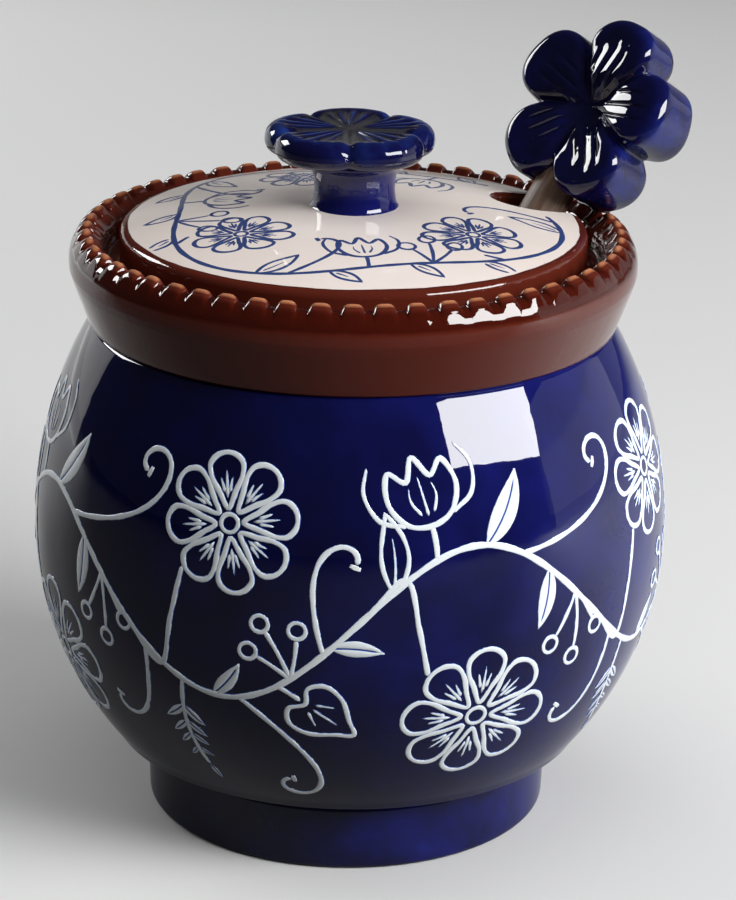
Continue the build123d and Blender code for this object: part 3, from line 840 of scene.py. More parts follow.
for radius, level in hidden:
    heights = np.full((len(plain_azimuth), 1), level)
    rim_rows.append(np.hstack([radius * round_about, heights])[None])
    rim_thin_and_lit.append(np.full((1, len(plain_azimuth)), BAND_THIN_AND_LIGHT))
collar = mesh_of_rings(
    "beaded_collar", np.concatenate(rim_rows), rim_brown, closed=True,
    values={"thin_and_lit": np.concatenate(rim_thin_and_lit)})
settle(collar, "pot", "brown_glaze", "bead_ring", "rim_collar")

# %% [markdown]
# ## Carved flowers
#
# The knob and the dipper's flower are the same idea at two sizes: five round petals cut from a
# thick slab, their edges softened and their faces cut into ridges with a loop tool. A boolean of
# five cylinders would leave hard seams. Instead the rim is worked out for every direction, as the
# farthest of five rounded petals, and rings of points run from the middle over the rim and back
# under. The face's height is a small formula: a dish, a dome on each petal, a wedge over the whole
# face, a valley between petals, and ridges with narrow grooves between them. The tool was held at
# a slant, so on each petal the ridges tilt a little, and a petal may rise towards the middle. The
# tilt and the rise decide which petals catch a window. Each point also carries how thin and how
# dull the glaze lies there.

# %% Carving a flower
PETALS = 5
HALF_PETAL = pi / PETALS
FLOWER_COLUMNS = 480
FACE_ROWS, EDGE_ROWS, SIDE_ROWS = 48, 8, 7
REACH_TRIES, RIM_SMOOTHING = 900, 10
DISH_CURVE, LONG_SIDE_CURVE = 1.15, 1.5    # how a dish falls, and how narrow its long side is
DOME_PLACE, DOME_CURVE = 0.7, 0.8          # how far out a petal's dome is highest, and how round
VALLEY_CURVE, VALLEY_START = 1.5, 0.25     # a valley's sides, and where it is at its full depth
RUN_OUT, RUN_OUT_LENGTH = 0.5, 2           # how soon one valley runs out, round and along
RISE_START = 0.25
SPACING_START, SPACING_GROWTH = 0.75, 0.5  # ridges stand closer together near the middle
FLAT_TOP = 8                               # the larger, the flatter a ridge between its grooves
SHORTER_ASIDE, STRAY, STRAY_TURN = 0.06, 0.04, 5   # ridges at a petal's sides end sooner
RIDGE_IN, RIDGE_OUT = 0.12, 0.16           # over which share of the way a ridge starts and ends


def petal_rim(angle, circle, petal, squareness, extras, turns):
    """Distance from the middle of a flower to its rim in each direction."""
    reach = np.linspace(0.3, 1.05, REACH_TRIES)[None, :] * (circle + petal + max(extras))
    farthest = np.zeros_like(angle)
    for number, (extra, turn) in enumerate(zip(extras, turns)):
        offset = (angle - 2 * HALF_PETAL * number - radians(turn))[:, None]
        inside = (np.abs(reach * np.cos(offset) - circle - extra) / petal) ** squareness \
            + (np.abs(reach * np.sin(offset)) / petal) ** squareness < 1
        farthest = np.maximum(farthest, np.max(np.where(inside, reach, 0), axis=1))
    for _ in range(RIM_SMOOTHING):
        farthest = (np.roll(farthest, 1) + 2 * farthest + np.roll(farthest, -1)) / 4
    return farthest


def carved_face(radius, angle, rim, style):
    """Height of a petal face above its slab, and how near each point is to the crest of a ridge."""
    number = np.round(angle / (2 * HALF_PETAL))
    offset = angle - number * 2 * HALF_PETAL
    petal = number.astype(int) % PETALS
    share = np.clip(radius / rim, 0, 1)
    on_petal = 1 - (offset / HALF_PETAL) ** 2
    towards_long = np.clip(np.cos(angle - style["long_side"]), 0, 1) ** LONG_SIDE_CURVE
    dish_end = style["dish_end"] + style["dish_long"] * towards_long
    dish = -style["dish"] * (1 - np.clip(share / dish_end, 0, 1)) ** DISH_CURVE
    dome = style["dome"] * on_petal * np.sin(pi * share ** DOME_PLACE) ** DOME_CURVE
    wedge = -style["wedge"] * radius * np.cos(angle - style["wedge_side"])
    rising = -np.array(style["rises"])[petal] * (rim - radius) * np.clip(share / RISE_START, 0, 1) * on_petal
    to_valley = radius * np.sin(HALF_PETAL - np.abs(offset))
    run_out = 1 - style["shallow"] * np.exp(
        -((np.abs(angle - pi) + RUN_OUT_LENGTH * (1 - share)) / RUN_OUT) ** 2)
    valley = -style["valley"] * run_out * np.clip(share / VALLEY_START, 0, 1) \
        * np.exp(-np.abs(to_valley / style["valley_width"]) ** VALLEY_CURVE)
    lean = np.radians(style["leans"])[petal]
    if style["fan"]:
        steps = style["fan"] / 2 * (offset / HALF_PETAL + lean * share)
    else:
        spacing = style["spacing"] * (SPACING_START + SPACING_GROWTH * share)
        steps = radius * np.sin(offset + lean) / spacing
    place = steps - np.round(steps)
    groove = -style["groove"] * np.abs(2 * place) ** style["sharpness"]
    tilt = np.array(style["tilts"])[petal] * style["spacing"]
    tilted = -tilt * place * (1 - np.abs(2 * place) ** FLAT_TOP)
    start, end = style["span"]
    finish = end - SHORTER_ASIDE * np.abs(np.round(steps)) + STRAY * np.sin(STRAY_TURN * petal)
    cut = np.clip((share - start) / RIDGE_IN, 0, 1) * np.clip((finish - share) / RIDGE_OUT, 0, 1) \
        * np.clip((to_valley - style["valley_width"]) / style["valley_width"], 0, 1)
    ridge = (1 - np.abs(2 * place)) * cut
    return dish + dome + valley + wedge + rising + (groove + tilted) * cut, ridge


# %% A slab with carved faces
HIGH_THIN, HIGH_SPAN = 0.2, 3              # glaze thins by this much on what stands this high
RIM_START, RIM_RUN = 0.8, 0.2              # where a face's glaze starts to turn into the rim's
BACK_EDGE_THIN, BACK_THIN = 0.4, 0.55
PLAIN_VALLEY = 0.4                         # how deep the valleys of a plain face still are


def carved_flower(name, circle, petal, squareness, thickness, edge, back_edge, style, both_faces, glaze,
                  extras=(0,) * PETALS, turns=(0,) * PETALS):
    """A five-petal slab about Z, from z = 0 to its thickness, with one or both faces carved."""
    angle = np.linspace(0, 2 * pi, FLOWER_COLUMNS, endpoint=False)
    rim = petal_rim(angle, circle, petal, squareness, extras, turns)
    inner, back_inner = rim - edge, rim - back_edge
    plain = dict(style, dome=0, dish=0, wedge=0, groove=0, valley=style["valley"] * PLAIN_VALLEY)
    rows, thin_and_lit, dull = [], [], []

    def add(radius, height, thinness, dullness=0.0):
        rows.append(np.stack([radius * np.cos(angle), radius * np.sin(angle), height + 0 * angle], -1))
        thin_and_lit.append(thinness + 0 * angle)
        dull.append(dullness + 0 * angle)

    def face(radius, upper):
        carved, ridge = carved_face(radius, angle, rim, style if upper or both_faces else plain)
        return (thickness + carved if upper else -carved), ridge

    for share in np.linspace(0, 1, FACE_ROWS):
        height, ridge = face(inner * share, True)
        stands = np.clip((height - thickness) / HIGH_SPAN, -1, 1)
        glazed = style["glazed"] + style["accent"] * ridge + stands * HIGH_THIN
        to_edge = np.clip((share - RIM_START) / RIM_RUN, 0, 1)
        add(inner * share, height, glazed + (style["rim_glazed"] - glazed) * to_edge, 1 - to_edge)
    front, back = face(inner, True)[0], face(back_inner, False)[0]
    for bend in np.linspace(0, pi / 2, EDGE_ROWS)[1:]:
        add(inner + edge * sin(bend), front - edge * (1 - cos(bend)),
            style["rim_glazed"] + (style["side_glazed"] - style["rim_glazed"]) * bend / (pi / 2))
    top, bottom = front - edge, back + back_edge
    for share in np.linspace(0, 1, SIDE_ROWS)[1:]:
        add(rim, top + (bottom - top) * share, style["side_glazed"])
    for bend in np.linspace(0, pi / 2, EDGE_ROWS)[1:]:
        add(back_inner + back_edge * cos(bend), bottom - back_edge * sin(bend), BACK_EDGE_THIN)
    for share in np.linspace(1, 0, FACE_ROWS)[1:]:
        add(back_inner * share, face(back_inner * share, False)[0], BACK_THIN)
    return mesh_of_rings(name, rows, glaze, values={"thin_and_lit": np.array(thin_and_lit), "dull": np.array(dull)})


# %% [markdown]
# ## The lid's knob
#
# The knob is a waisted stem, thrown and then stuck to the lid, with a flat flower on top that
# fingers can pull at. The flower's rays fan out from its middle and its dish is shallow, because it
# is pressed by many hands. The stem is turned like the belly, and the flower is carved as above.

# %% The lid's knob
LID_CROWN = 119.4
KNOB_STEM = 9.7
KNOB_TURN, KNOB_SHIFT = radians(18), -1.0
stem_top = LID_CROWN + KNOB_STEM + 0.4
stem_side = [   # radius, and height above the lid's crown
    (8.50, -0.15), (8.15, 0.35), (7.85, 1.3), (7.65, 3.4), (7.75, 5.4), (8.25, 7.1), (9.15, 8.2),
    (9.55, 8.7), (9.45, 9.2), (9.0, KNOB_STEM + 0.4)]
stem_outline = [(0, LID_CROWN - 0.2)] + list(spline(
    [(radius, LID_CROWN + height) for radius, height in stem_side], 5)) + [(0, stem_top)]
settle(thrown("knob_stem", stem_outline, cobalt, shake=1.2), "lid", "blue_glaze", "lid_knob")

knob_style = dict(
    dish=0.55, dish_end=0.85, dish_long=0, long_side=0, dome=0.10, wedge=0, wedge_side=0, valley=0.75,
    valley_width=0.9, shallow=0, groove=0.42, sharpness=2.0, fan=5, spacing=1, leans=(5, 8, -7, -3, 6),
    tilts=(0,) * PETALS, rises=(0,) * PETALS, span=(0.10, 0.86),
    glazed=0.10, accent=0.75, rim_glazed=0.72, side_glazed=0.52)
knob_cap = carved_flower(
    "knob_cap", circle=5.9, petal=10.4, squareness=2.0, thickness=5.3, edge=2.6, back_edge=2.1,
    style=knob_style, both_faces=False, glaze=pooled_worn)
knob_cap.data.transform(
    Matrix.Translation(Vector((KNOB_SHIFT, 0, LID_CROWN + KNOB_STEM + 0.05)) * MM)
    @ Matrix.Rotation(KNOB_TURN, 4, "Z"))
settle(knob_cap, "lid", "blue_glaze", "lid_knob")

# %% [markdown]
# ## The dipper's flower
#
# A thick glazed flower is glued on the end of the stick and faces the front, a little upwards. It is
# carved lying flat, which keeps the formula simple, and then stood up by a matrix whose three
# directions are the stick's own, the way across it, and the way that the face looks. Angles on the
# face are counted from the stick's direction. Its petals differ a little in reach, turn and slant,
# as hand-cut ones do.

# %% The dipper's flower
draw = next(joint for joint in frame["joints"] if joint["name"] == "dipper_draw")
ALONG = Vector(draw["axis"]).normalized()
LEVEL = Vector((ALONG.y, -ALONG.x, 0)).normalized()
STICK_RADIUS, STICK_LENGTH, SOCKET_DEPTH = 4.25, 137.2, 9.0
FLOWER_CIRCLE, FLOWER_PETAL, FLOWER_THICK, FLOWER_TURN = 10.3, 7.9, 12.4, radians(20)
FACE_RIGHT, FACE_UP = radians(-72), radians(29)   # towards the right and upwards, on the face
PETAL_OUT, FACE_CUT, FACE_FORWARD = 0.35, 0.6, 0.3

stick_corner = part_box("dipper_stick")[1] / MM
stick_end = Vector(c - STICK_RADIUS * sqrt(1 - a * a) for c, a in zip(stick_corner, ALONG))
notch = FLOWER_CIRCLE * cos(HALF_PETAL) + sqrt(FLOWER_PETAL ** 2 - (FLOWER_CIRCLE * sin(HALF_PETAL)) ** 2)
flower_middle = stick_end + ALONG * (notch - SOCKET_DEPTH)
FACE = (LEVEL * sin(FLOWER_TURN) - ALONG.cross(LEVEL) * cos(FLOWER_TURN)).normalized()
flower_axes = Matrix((ALONG, FACE.cross(ALONG), FACE)).transposed().to_4x4()
flower_style = dict(
    dish=3.0, dish_end=0.31, dish_long=0.31, long_side=FACE_RIGHT, dome=0.25, wedge=0.06,
    wedge_side=FACE_UP, valley=1.6, valley_width=1.1, shallow=0.7, groove=0.34, sharpness=4, fan=0,
    spacing=2.5, leans=(4, -8, 10, -6, 6), tilts=(0.27, 0.10, -0.22, -0.25, 0.07),
    rises=(0, 0, 0, 0.11, 0), span=(0.16, 0.82), glazed=0.30, accent=0.06, rim_glazed=0.42, side_glazed=0.70)
flower = carved_flower(
    "dipper_flower_carved", circle=FLOWER_CIRCLE + PETAL_OUT, petal=FLOWER_PETAL - PETAL_OUT,
    squareness=2.4, thickness=FLOWER_THICK - FACE_CUT, edge=2.6, back_edge=1.7, style=flower_style,
    both_faces=True, glaze=pooled, extras=(0, 1.5, 0.9, 0.5, 0), turns=(0, 0, 3, 0, 0))
flower.data.transform(
    Matrix.Translation(flower_middle * MM) @ flower_axes
    @ Matrix.Translation(Vector((0, 0, FACE_FORWARD - FLOWER_THICK / 2)) * MM))
settle(flower, "dipper", "blue_glaze", "dipper_flower")
print("flower's face looks along", [round(v, 2) for v in FACE])

# %% [markdown]
# ## The dipper's stick
#
# The stick is turned from one piece of wood: a plain handle, and inside the pot a head of discs
# that hold honey between them. Its outline is swept like the pot's, very slightly out of round, as
# sanding by hand leaves it. It is made upright, where it keeps its grain, and then leant along the
# line on which it is drawn out.

# %% The dipper's stick
STICK_SHORT = 6.0                          # the socket is shallower where the face is carved away
HEAD_LENGTH, HEAD_DISCS, GROOVE_SHARE = 35, 7, 0.48
HEAD_RADIUS, DISC_END_RADIUS, CORE_RADIUS = 10, 7.5, 5
DISC_EDGE, GROOVE_EDGE = 0.7, 0.3          # how far their corners are rounded
OUT_OF_ROUND, STICK_AROUND = 0.006, 72

pitch = HEAD_LENGTH / HEAD_DISCS
disc = pitch * (1 - GROOVE_SHARE)
stick_corners = [(0, 0, 0)]
for number in range(HEAD_DISCS):
    reach = DISC_END_RADIUS + (HEAD_RADIUS - DISC_END_RADIUS) * sin(pi * number / (HEAD_DISCS - 1))
    last = number == HEAD_DISCS - 1
    low, high = pitch * number, pitch * number + disc
    stick_corners += [(reach, low, DISC_EDGE), (reach, high, DISC_EDGE)]
    stick_corners.append((STICK_RADIUS if last else CORE_RADIUS, high, GROOVE_EDGE))
    if not last:
        stick_corners.append((CORE_RADIUS, pitch * (number + 1), GROOVE_EDGE))
stick_corners += [(STICK_RADIUS, STICK_LENGTH - STICK_SHORT, 0.4), (0, STICK_LENGTH - STICK_SHORT, 0)]
radius, height = np.array(softened(stick_corners, run=1.2)).T
lap = np.linspace(0, 2 * pi, STICK_AROUND, endpoint=False)
worn_round = 1 - OUT_OF_ROUND * (1 + np.sin(3 * lap[None, :] + height[:, None] / 9))
stick_rings = np.stack([
    radius[:, None] * worn_round * np.cos(lap), radius[:, None] * worn_round * np.sin(lap),
    np.repeat(height[:, None], len(lap), 1)], -1)
stick = mesh_of_rings("dipper_wood", stick_rings, wood)
grain_spots = np.array([vertex.co for vertex in stick.data.vertices]) / MM
grain_layer = stick.data.attributes.new("along_grain", "FLOAT_VECTOR", "POINT")
grain_layer.data.foreach_set("vector", grain_spots.ravel())
stick_nose = stick_end - ALONG * STICK_LENGTH
stick.data.transform(
    Matrix.Translation(stick_nose * MM) @ Matrix((LEVEL, ALONG.cross(LEVEL), ALONG)).transposed().to_4x4())
settle(stick, "dipper", "turned_wood", "dipper_stick")

# %% [markdown]
# ## The lid's plate and flange
#
# The lid's domed plate with its notch, and the ring under it, are plain turned clay, and the CAD
# shapes already have their soft edges. Modelling them again would add nothing, so they only get
# their glazes.

# %% The lid's plate and flange
for node, material in (("lid_plate", cream), ("lid_flange", lid_brown)):
    mesh = frame["nodes"][node].data
    mesh.materials.clear()
    mesh.materials.append(material)
    print(f"{node}: {material.name}")

# %% [markdown]
# ## Drawing in slip
#
# The flowers are trailed on in white slip from a fine nozzle, so each line is a low round ridge
# that catches the light, and the glaze is thin and pale along its edges. A painted texture has no
# such ridge. Every line is therefore a narrow mesh. A motif is drawn in flat millimetres first,
# then laid on the belly by its azimuth and by the climb along the wall, which keeps its shape
# true. The same motifs, smaller and finer, are brushed in blue on the lid.

# %% Drawing with a slip trailer
LINE_STEP = 0.6                            # between the points of a line, in millimetres
LEAST_WALK, LEAST_PART, LEAST_RING = 9, 3, 12   # the fewest points of each kind of line


def walk(start, heading, length, bend_first, bend_last, power=1.0):
    """A line of points from start. Its heading, in degrees, turns faster or slower along the way."""
    count = max(LEAST_WALK, int(length / LINE_STEP) + 1)
    share = np.linspace(0, 1, count)
    turned = length * (bend_first * share + (bend_last - bend_first) * share ** (power + 1) / (power + 1))
    angle = np.radians(heading + turned)
    stride = length / (count - 1)
    steps = np.stack([np.cos(angle), np.sin(angle)], -1)[:-1] * stride
    return np.vstack([[start], np.array(start) + np.cumsum(steps, 0)])


def heading_at_end(points):
    """The direction in which a line ends, in degrees."""
    return degrees(atan2(*(points[-1] - points[-2])[::-1]))


def through(points, loop=False):
    """A smooth line through points, sampled every LINE_STEP."""
    points = np.array(points, float)
    ends = np.vstack([points[-1:], points, points[:2]]) if loop else extended(points)
    line = []
    for a, b, c, d in zip(ends, ends[1:], ends[2:], ends[3:]):
        steps = max(LEAST_PART, int(np.linalg.norm(c - b) / LINE_STEP) + 1)
        line += curve_part(a, b, c, d, steps)
    if not loop:
        line.append(points[-1])
    return np.array(line)


def stroke(points, width=1.0, loop=False, leaf=False, taper=0.0):
    """One line of slip: its points, its width in millimetres, and how it ends."""
    return dict(points=np.array(points), width=width, loop=loop, leaf=leaf, taper=taper)


def thinned(strokes, line):
    """The same strokes with their lines drawn finer. Solid leaves keep their shape."""
    return [one if one["leaf"] else dict(one, width=one["width"] * line) for one in strokes]


def moved(strokes, x=0.0, y=0.0, turn=0.0):
    """A motif turned by some degrees and put down at a place."""
    c, s = cos(radians(turn)), sin(radians(turn))
    spin = np.array([[c, s], [-s, c]])
    return [dict(one, points=one["points"] @ spin + (x, y)) for one in strokes]


# %% [markdown]
# ## The motifs
#
# Each motif is a handful of strokes in flat millimetres, which starts at its own origin and points
# along X. A potter learns such a stock of leaves, buds and curls by heart and sets them together
# anew on every pot. Here each is a small function of its size, so the same stock serves the belly
# and the lid.

# %% Rosettes and leaves
ROSETTE_PETALS = 8
PETAL_SIDE = [(0.24, 0.34), (0.46, 0.74), (0.68, 0.93), (0.87, 0.80), (0.97, 0.42)]
PETAL_LINES = ((0.0, 0.36, 0.76), (-0.36, 0.44, 0.66), (0.36, 0.44, 0.66))   # spread, start, end
PETAL_FULLNESS, PETAL_LINE_POINTS = 0.94, 7
ROSETTE_EYE = 0.13                         # its middle ring, as a share of its radius
LEAF_SHARE = 0.34                          # a solid leaf's width, as a share of its length
OPEN_LEAF_SHARE, MIDRIB_SHARE = 0.17, 0.75 # an open leaf's half width, and how far its midrib runs
LEAF_SKEW = 0.85                           # below 1, a leaf is widest before its middle
OUTLINE, THIN, FINE, FINEST = 0.95, 0.80, 0.70, 0.65   # widths of lines, in millimetres


def ring(radius, x=0.0, y=0.0):
    """A small circle of slip."""
    count = max(LEAST_RING, int(2 * pi * radius / LINE_STEP))
    lap = np.linspace(0, 2 * pi, count, endpoint=False)
    return stroke(np.stack([x + radius * np.cos(lap), y + radius * np.sin(lap)], -1), THIN, loop=True)


def rosette(radius):
    """An open flower seen from above: round petals with fine lines in each."""
    half = pi / ROSETTE_PETALS
    outline = [(reach, -spread * half * PETAL_FULLNESS) for reach, spread in PETAL_SIDE] + [(1.0, 0.0)]
    outline += [(reach, spread * half * PETAL_FULLNESS) for reach, spread in PETAL_SIDE[::-1]]
    points = [(radius * r * cos(a), radius * r * sin(a)) for r, a in outline]
    petal = [stroke(through(points, loop=True), OUTLINE, loop=True)]
    for spread, first, last in PETAL_LINES:
        reaches = np.linspace(first, last, PETAL_LINE_POINTS)
        angles = np.linspace(0.6, 1, PETAL_LINE_POINTS) * spread * half
        line = [(radius * r * cos(a), radius * r * sin(a)) for r, a in zip(reaches, angles)]
        petal.append(stroke(line, FINE, taper=0.5))
    drawn = [ring(radius * ROSETTE_EYE)]
    for number in range(ROSETTE_PETALS):
        drawn += moved(petal, turn=360 * number / ROSETTE_PETALS)
    return drawn


def leaf(length, bend):
    """A solid leaf, drawn as one fat stroke with a vein left open along it."""
    return stroke(walk((0, 0), -bend * length / 2, length, bend, bend), length * LEAF_SHARE, leaf=True)


def open_leaf(length, bend):
    """A leaf drawn in outline with its midrib."""
    middle = walk((0, 0), -bend * length / 2, length, bend, bend)
    share = np.linspace(0, 1, len(middle))
    way = np.gradient(middle, axis=0)
    side = np.stack([-way[:, 1], way[:, 0]], -1) / np.linalg.norm(way, axis=1)[:, None]
    swell = (length * OPEN_LEAF_SHARE * np.sin(pi * share ** LEAF_SKEW))[:, None]
    outline = np.vstack([middle + side * swell, (middle - side * swell)[-2:0:-1]])
    midrib = middle[2:int(len(middle) * MIDRIB_SHARE)]
    return [stroke(outline, THIN, loop=True), stroke(midrib, FINEST, taper=0.6)]


# %% Tulips, tendrils, sprigs, berries and hearts
TULIP_CUP = [(0, 0), (0.30, 0.10), (0.46, 0.42), (0.36, 0.78), (0.16, 0.62)]
TULIP_WING = [(0.30, 0.08), (0.62, 0.24), (0.72, 0.60), (0.58, 0.92)]
TULIP_LINE = [(0.08, 0.16), (0.17, 0.36), (0.15, 0.55)]
TULIP_MIDDLE = [(0, 0.14), (0, 0.40), (0, 0.66)]
CURL_FIRST, CURL_LAST, CURL_POWER = 1.0, 34.0, 3.4   # a tendril's bend in degrees a millimetre
CURL_DOT = 2.0                             # the width of the dot where it stops
SPRIG_PAIRS, SPRIG_START, SPRIG_RUN = 4, 0.30, 0.62   # where its leaflets start, and over how much
SPRIG_LEAF, SPRIG_SHRINK, SPRIG_TIP = 0.27, 0.035, 0.20   # their lengths, as shares of the stalk's
SPRIG_SPREAD = 48                          # how far leaflets turn from the stalk, in degrees
BERRY_STALKS = ((-30, 0.80), (4, 1.0), (36, 0.74))   # turn in degrees, and share of the length
BERRY_RADIUS = 1.6
HEART_HALF = [(0, 0.10), (0.26, -0.05), (0.50, 0.14), (0.47, 0.50), (0.20, 0.84), (0, 1.08)]


def mirrored(points, size, side=1):
    """Points of a motif of size 1, at its real size, on one side or the other."""
    return [(side * x * size, y * size) for x, y in points]


def tulip(size):
    """A cup of three petals, seen from the side."""
    cup = mirrored(TULIP_CUP, size) + [(0.0, 0.90 * size)] + mirrored(TULIP_CUP[:0:-1], size, -1)
    drawn = [stroke(through(cup, loop=True), OUTLINE, loop=True)]
    for side in (-1, 1):
        drawn.append(stroke(through(mirrored(TULIP_WING, size, side)), OUTLINE, taper=0.4))
        drawn.append(stroke(through(mirrored(TULIP_LINE, size, side)), FINEST, taper=0.6))
    drawn.append(stroke(through(mirrored(TULIP_MIDDLE, size)), FINEST, taper=0.6))
    return drawn


def tendril(length, side):
    """A line that curls up at its end and stops in a dot."""
    line = walk((0, 0), 0, length, side * CURL_FIRST, side * CURL_LAST, CURL_POWER)
    return [stroke(line, OUTLINE), stroke(walk(line[-1], heading_at_end(line), 0.9, 0, 0), CURL_DOT)]


def sprig(length, side):
    """A bent stalk with pairs of solid leaflets that shrink towards the tip."""
    stalk = walk((0, 0), 0, length, side * 1.4, side * 1.4)
    drawn = [stroke(stalk, 0.85)]
    for number in range(SPRIG_PAIRS):
        at = int(len(stalk) * (SPRIG_START + SPRIG_RUN * number / SPRIG_PAIRS))
        way = heading_at_end(stalk[:at + 1])
        for hand in (-1, 1):
            leaflet = leaf(length * (SPRIG_LEAF - SPRIG_SHRINK * number), hand * 3)
            drawn += moved([leaflet], *stalk[at], way + hand * SPRIG_SPREAD)
    return drawn + moved([leaf(length * SPRIG_TIP, 0)], *stalk[-1], heading_at_end(stalk))


def berries(length, side):
    """Three rings on thin stalks that fan out from one point."""
    drawn = []
    for turn, reach in BERRY_STALKS:
        stalk = walk((0, 0), turn, length * reach, side * 1.6, side * 1.6)
        way = radians(heading_at_end(stalk))
        x, y = stalk[-1] + BERRY_RADIUS * np.array((cos(way), sin(way)))
        drawn += [stroke(stalk, THIN), ring(BERRY_RADIUS, x, y)]
    return drawn


def heart(size):
    """A heart-shaped leaf in outline, with fine lines fanning from its stalk."""
    points = mirrored(HEART_HALF, size) + mirrored(HEART_HALF[::-1][1:-1], size, -1)
    drawn = [stroke(through(points, loop=True), 0.9, loop=True)]
    for turn, reach in ((90, 0.62), (60, 0.40), (120, 0.40)):
        line = stroke(walk((0.20 * size, 0), 0, reach * size * 0.8, 0, 0), FINE, taper=0.6)
        drawn += moved([line], 0, 0.06 * size, turn)
    return drawn


def on_stalk(flower_of, size, side):
    """A motif at the end of a short bent stalk."""
    stalk = walk((0, 0), 0, size * 0.45, side * 2.5, side * 2.5)
    return [stroke(stalk, OUTLINE)] + moved(flower_of(size), *stalk[-1], heading_at_end(stalk) - 90)


MOTIFS = {   # each from its size and the hand to which it bends, 1 or -1
    "leaf": lambda size, side: [leaf(size, side * 2.2)],
    "open leaf": lambda size, side: open_leaf(size, side * 2.0),
    "tulip": lambda size, side: on_stalk(tulip, size, side),
    "heart": lambda size, side: on_stalk(heart, size, side),
    "tendril": tendril, "sprig": sprig, "berries": berries}
print("motifs:", ", ".join(MOTIFS))

# %% [markdown]
# ## Laying strokes on a surface
#
# A stroke becomes a narrow strip whose cross-section is a low round ridge. A curve with a bevel
# would give round cords that float off a curved wall. Here every point of the strip is worked out
# on the surface itself, with its edges sunk a little below the glaze, so that no gap shows. Solid
# leaves get more columns and a groove along their middle, where the glaze shows through as a vein.

# %% Laying strokes on a curved surface
LINE_ACROSS = np.array((-1, -0.8, -0.4, 0, 0.4, 0.8, 1))
LEAF_ACROSS = np.array((-1, -0.92, -0.75, -0.45, -0.2, -0.08, 0, 0.08, 0.2, 0.45, 0.75, 0.92, 1))
LEAF_BLUNTNESS, LEAF_TIP = 0.8, 0.10       # how full a leaf is, and how wide it is at its ends
UNEVENNESS, UNEVEN_STEP, END_LEAST = 0.09, 0.55, 0.09
FULL_HALF = 0.4                            # half a line's width from which it stands at full height
NO_VEIN = 9.0                              # a distance from a vein for lines that have none
VEIN_START, VEIN_END, VEIN_RUN_OUT = 0.06, 0.80, 2
VEIN_DEPTH, VEIN_WIDTH = 0.8, 0.2


def half_widths(one):
    """Half the width of a stroke at each of its points, with round or pointed ends."""
    count = len(one["points"])
    share = np.linspace(0, 1, count)
    half = one["width"] / 2
    if one["leaf"]:
        return half * np.maximum(np.sin(pi * share ** LEAF_SKEW) ** LEAF_BLUNTNESS, LEAF_TIP)
    unevenly = 1 + UNEVENNESS * np.sin(np.arange(count) * UNEVEN_STEP + count)
    if one["loop"]:
        return half * unevenly
    run = np.arange(count) * LINE_STEP
    to_end = np.minimum(run, run[::-1]) / half
    blunt = np.sqrt(np.clip(1 - (1 - np.clip(to_end, 0, 1)) ** 2, END_LEAST, 1))
    return half * unevenly * blunt * (1 - one["taper"] * share)


def trail(name, strokes, surface, reach, rise, sunk, material):
    """One mesh of raised strokes. Their points are (azimuth in radians, climb in millimetres)."""
    spots, faces, from_edge, from_vein, first = [], [], [], [], 0
    for one in strokes:
        azimuth, climb = one["points"].T
        if one["loop"]:
            ahead = np.roll(one["points"], -1, 0) - np.roll(one["points"], 1, 0)
        else:
            ahead = np.gradient(one["points"], axis=0)
        ahead = ahead * np.stack([reach(climb), np.ones_like(climb)], -1)
        ahead /= np.linalg.norm(ahead, axis=1)[:, None]
        across = LEAF_ACROSS if one["leaf"] else LINE_ACROSS
        half = half_widths(one)[:, None]
        aside = across[None, :] * half
        at_climb = climb[:, None] + aside * ahead[:, :1]
        at_azimuth = azimuth[:, None] - aside * ahead[:, 1:] / reach(at_climb)
        vein = np.full_like(aside, NO_VEIN)
        swell = np.sqrt(1 - across[None, :] ** 4) * np.clip(half / FULL_HALF, 0, 1)
        if one["leaf"]:
            share = np.linspace(0, 1, len(azimuth))[:, None]
            past_ends = np.clip(share - VEIN_END, 0, 1) + np.clip(VEIN_START - share, 0, 1)
            vein = np.abs(aside) + VEIN_RUN_OUT * past_ends
            swell = swell * (1 - VEIN_DEPTH * np.exp(-(vein / VEIN_WIDTH) ** 2))
        spot, out = surface(at_azimuth, at_climb)
        spots.append((spot + out * (rise + sunk) * swell[..., None] - out * sunk).reshape(-1, 3))
        from_edge.append(((1 - np.abs(across[None, :])) * half).ravel())
        from_vein.append(vein.ravel())
        rows, columns = aside.shape
        for r in range(rows if one["loop"] else rows - 1):
            low, high = first + r * columns, first + (r + 1) % rows * columns
            faces += [
                (low + c, high + c, high + (c + 1) % columns, low + (c + 1) % columns)
                for c in range(columns)]
        if not one["loop"]:
            faces.append(tuple(range(first, first + columns)))
            faces.append(tuple(range(first + rows * columns - 1, first + rows * columns - 1 - columns, -1)))
        first += rows * columns
    values = {"from_edge": np.concatenate(from_edge), "from_vein": np.concatenate(from_vein)}
    return smooth_piece(name, np.concatenate(spots), faces, material, values)


# %% [markdown]
# ## A flowering vine
#
# The pattern is a generic folk design: one wavy stem runs round, a large rosette sits in each
# hollow, and small motifs leave the stem on both sides. Each wave repeats the same list, but a
# seeded chance shifts, turns and sizes every motif a little, as a hand would. Drawing every wave
# by itself would take four times the work and look no better.

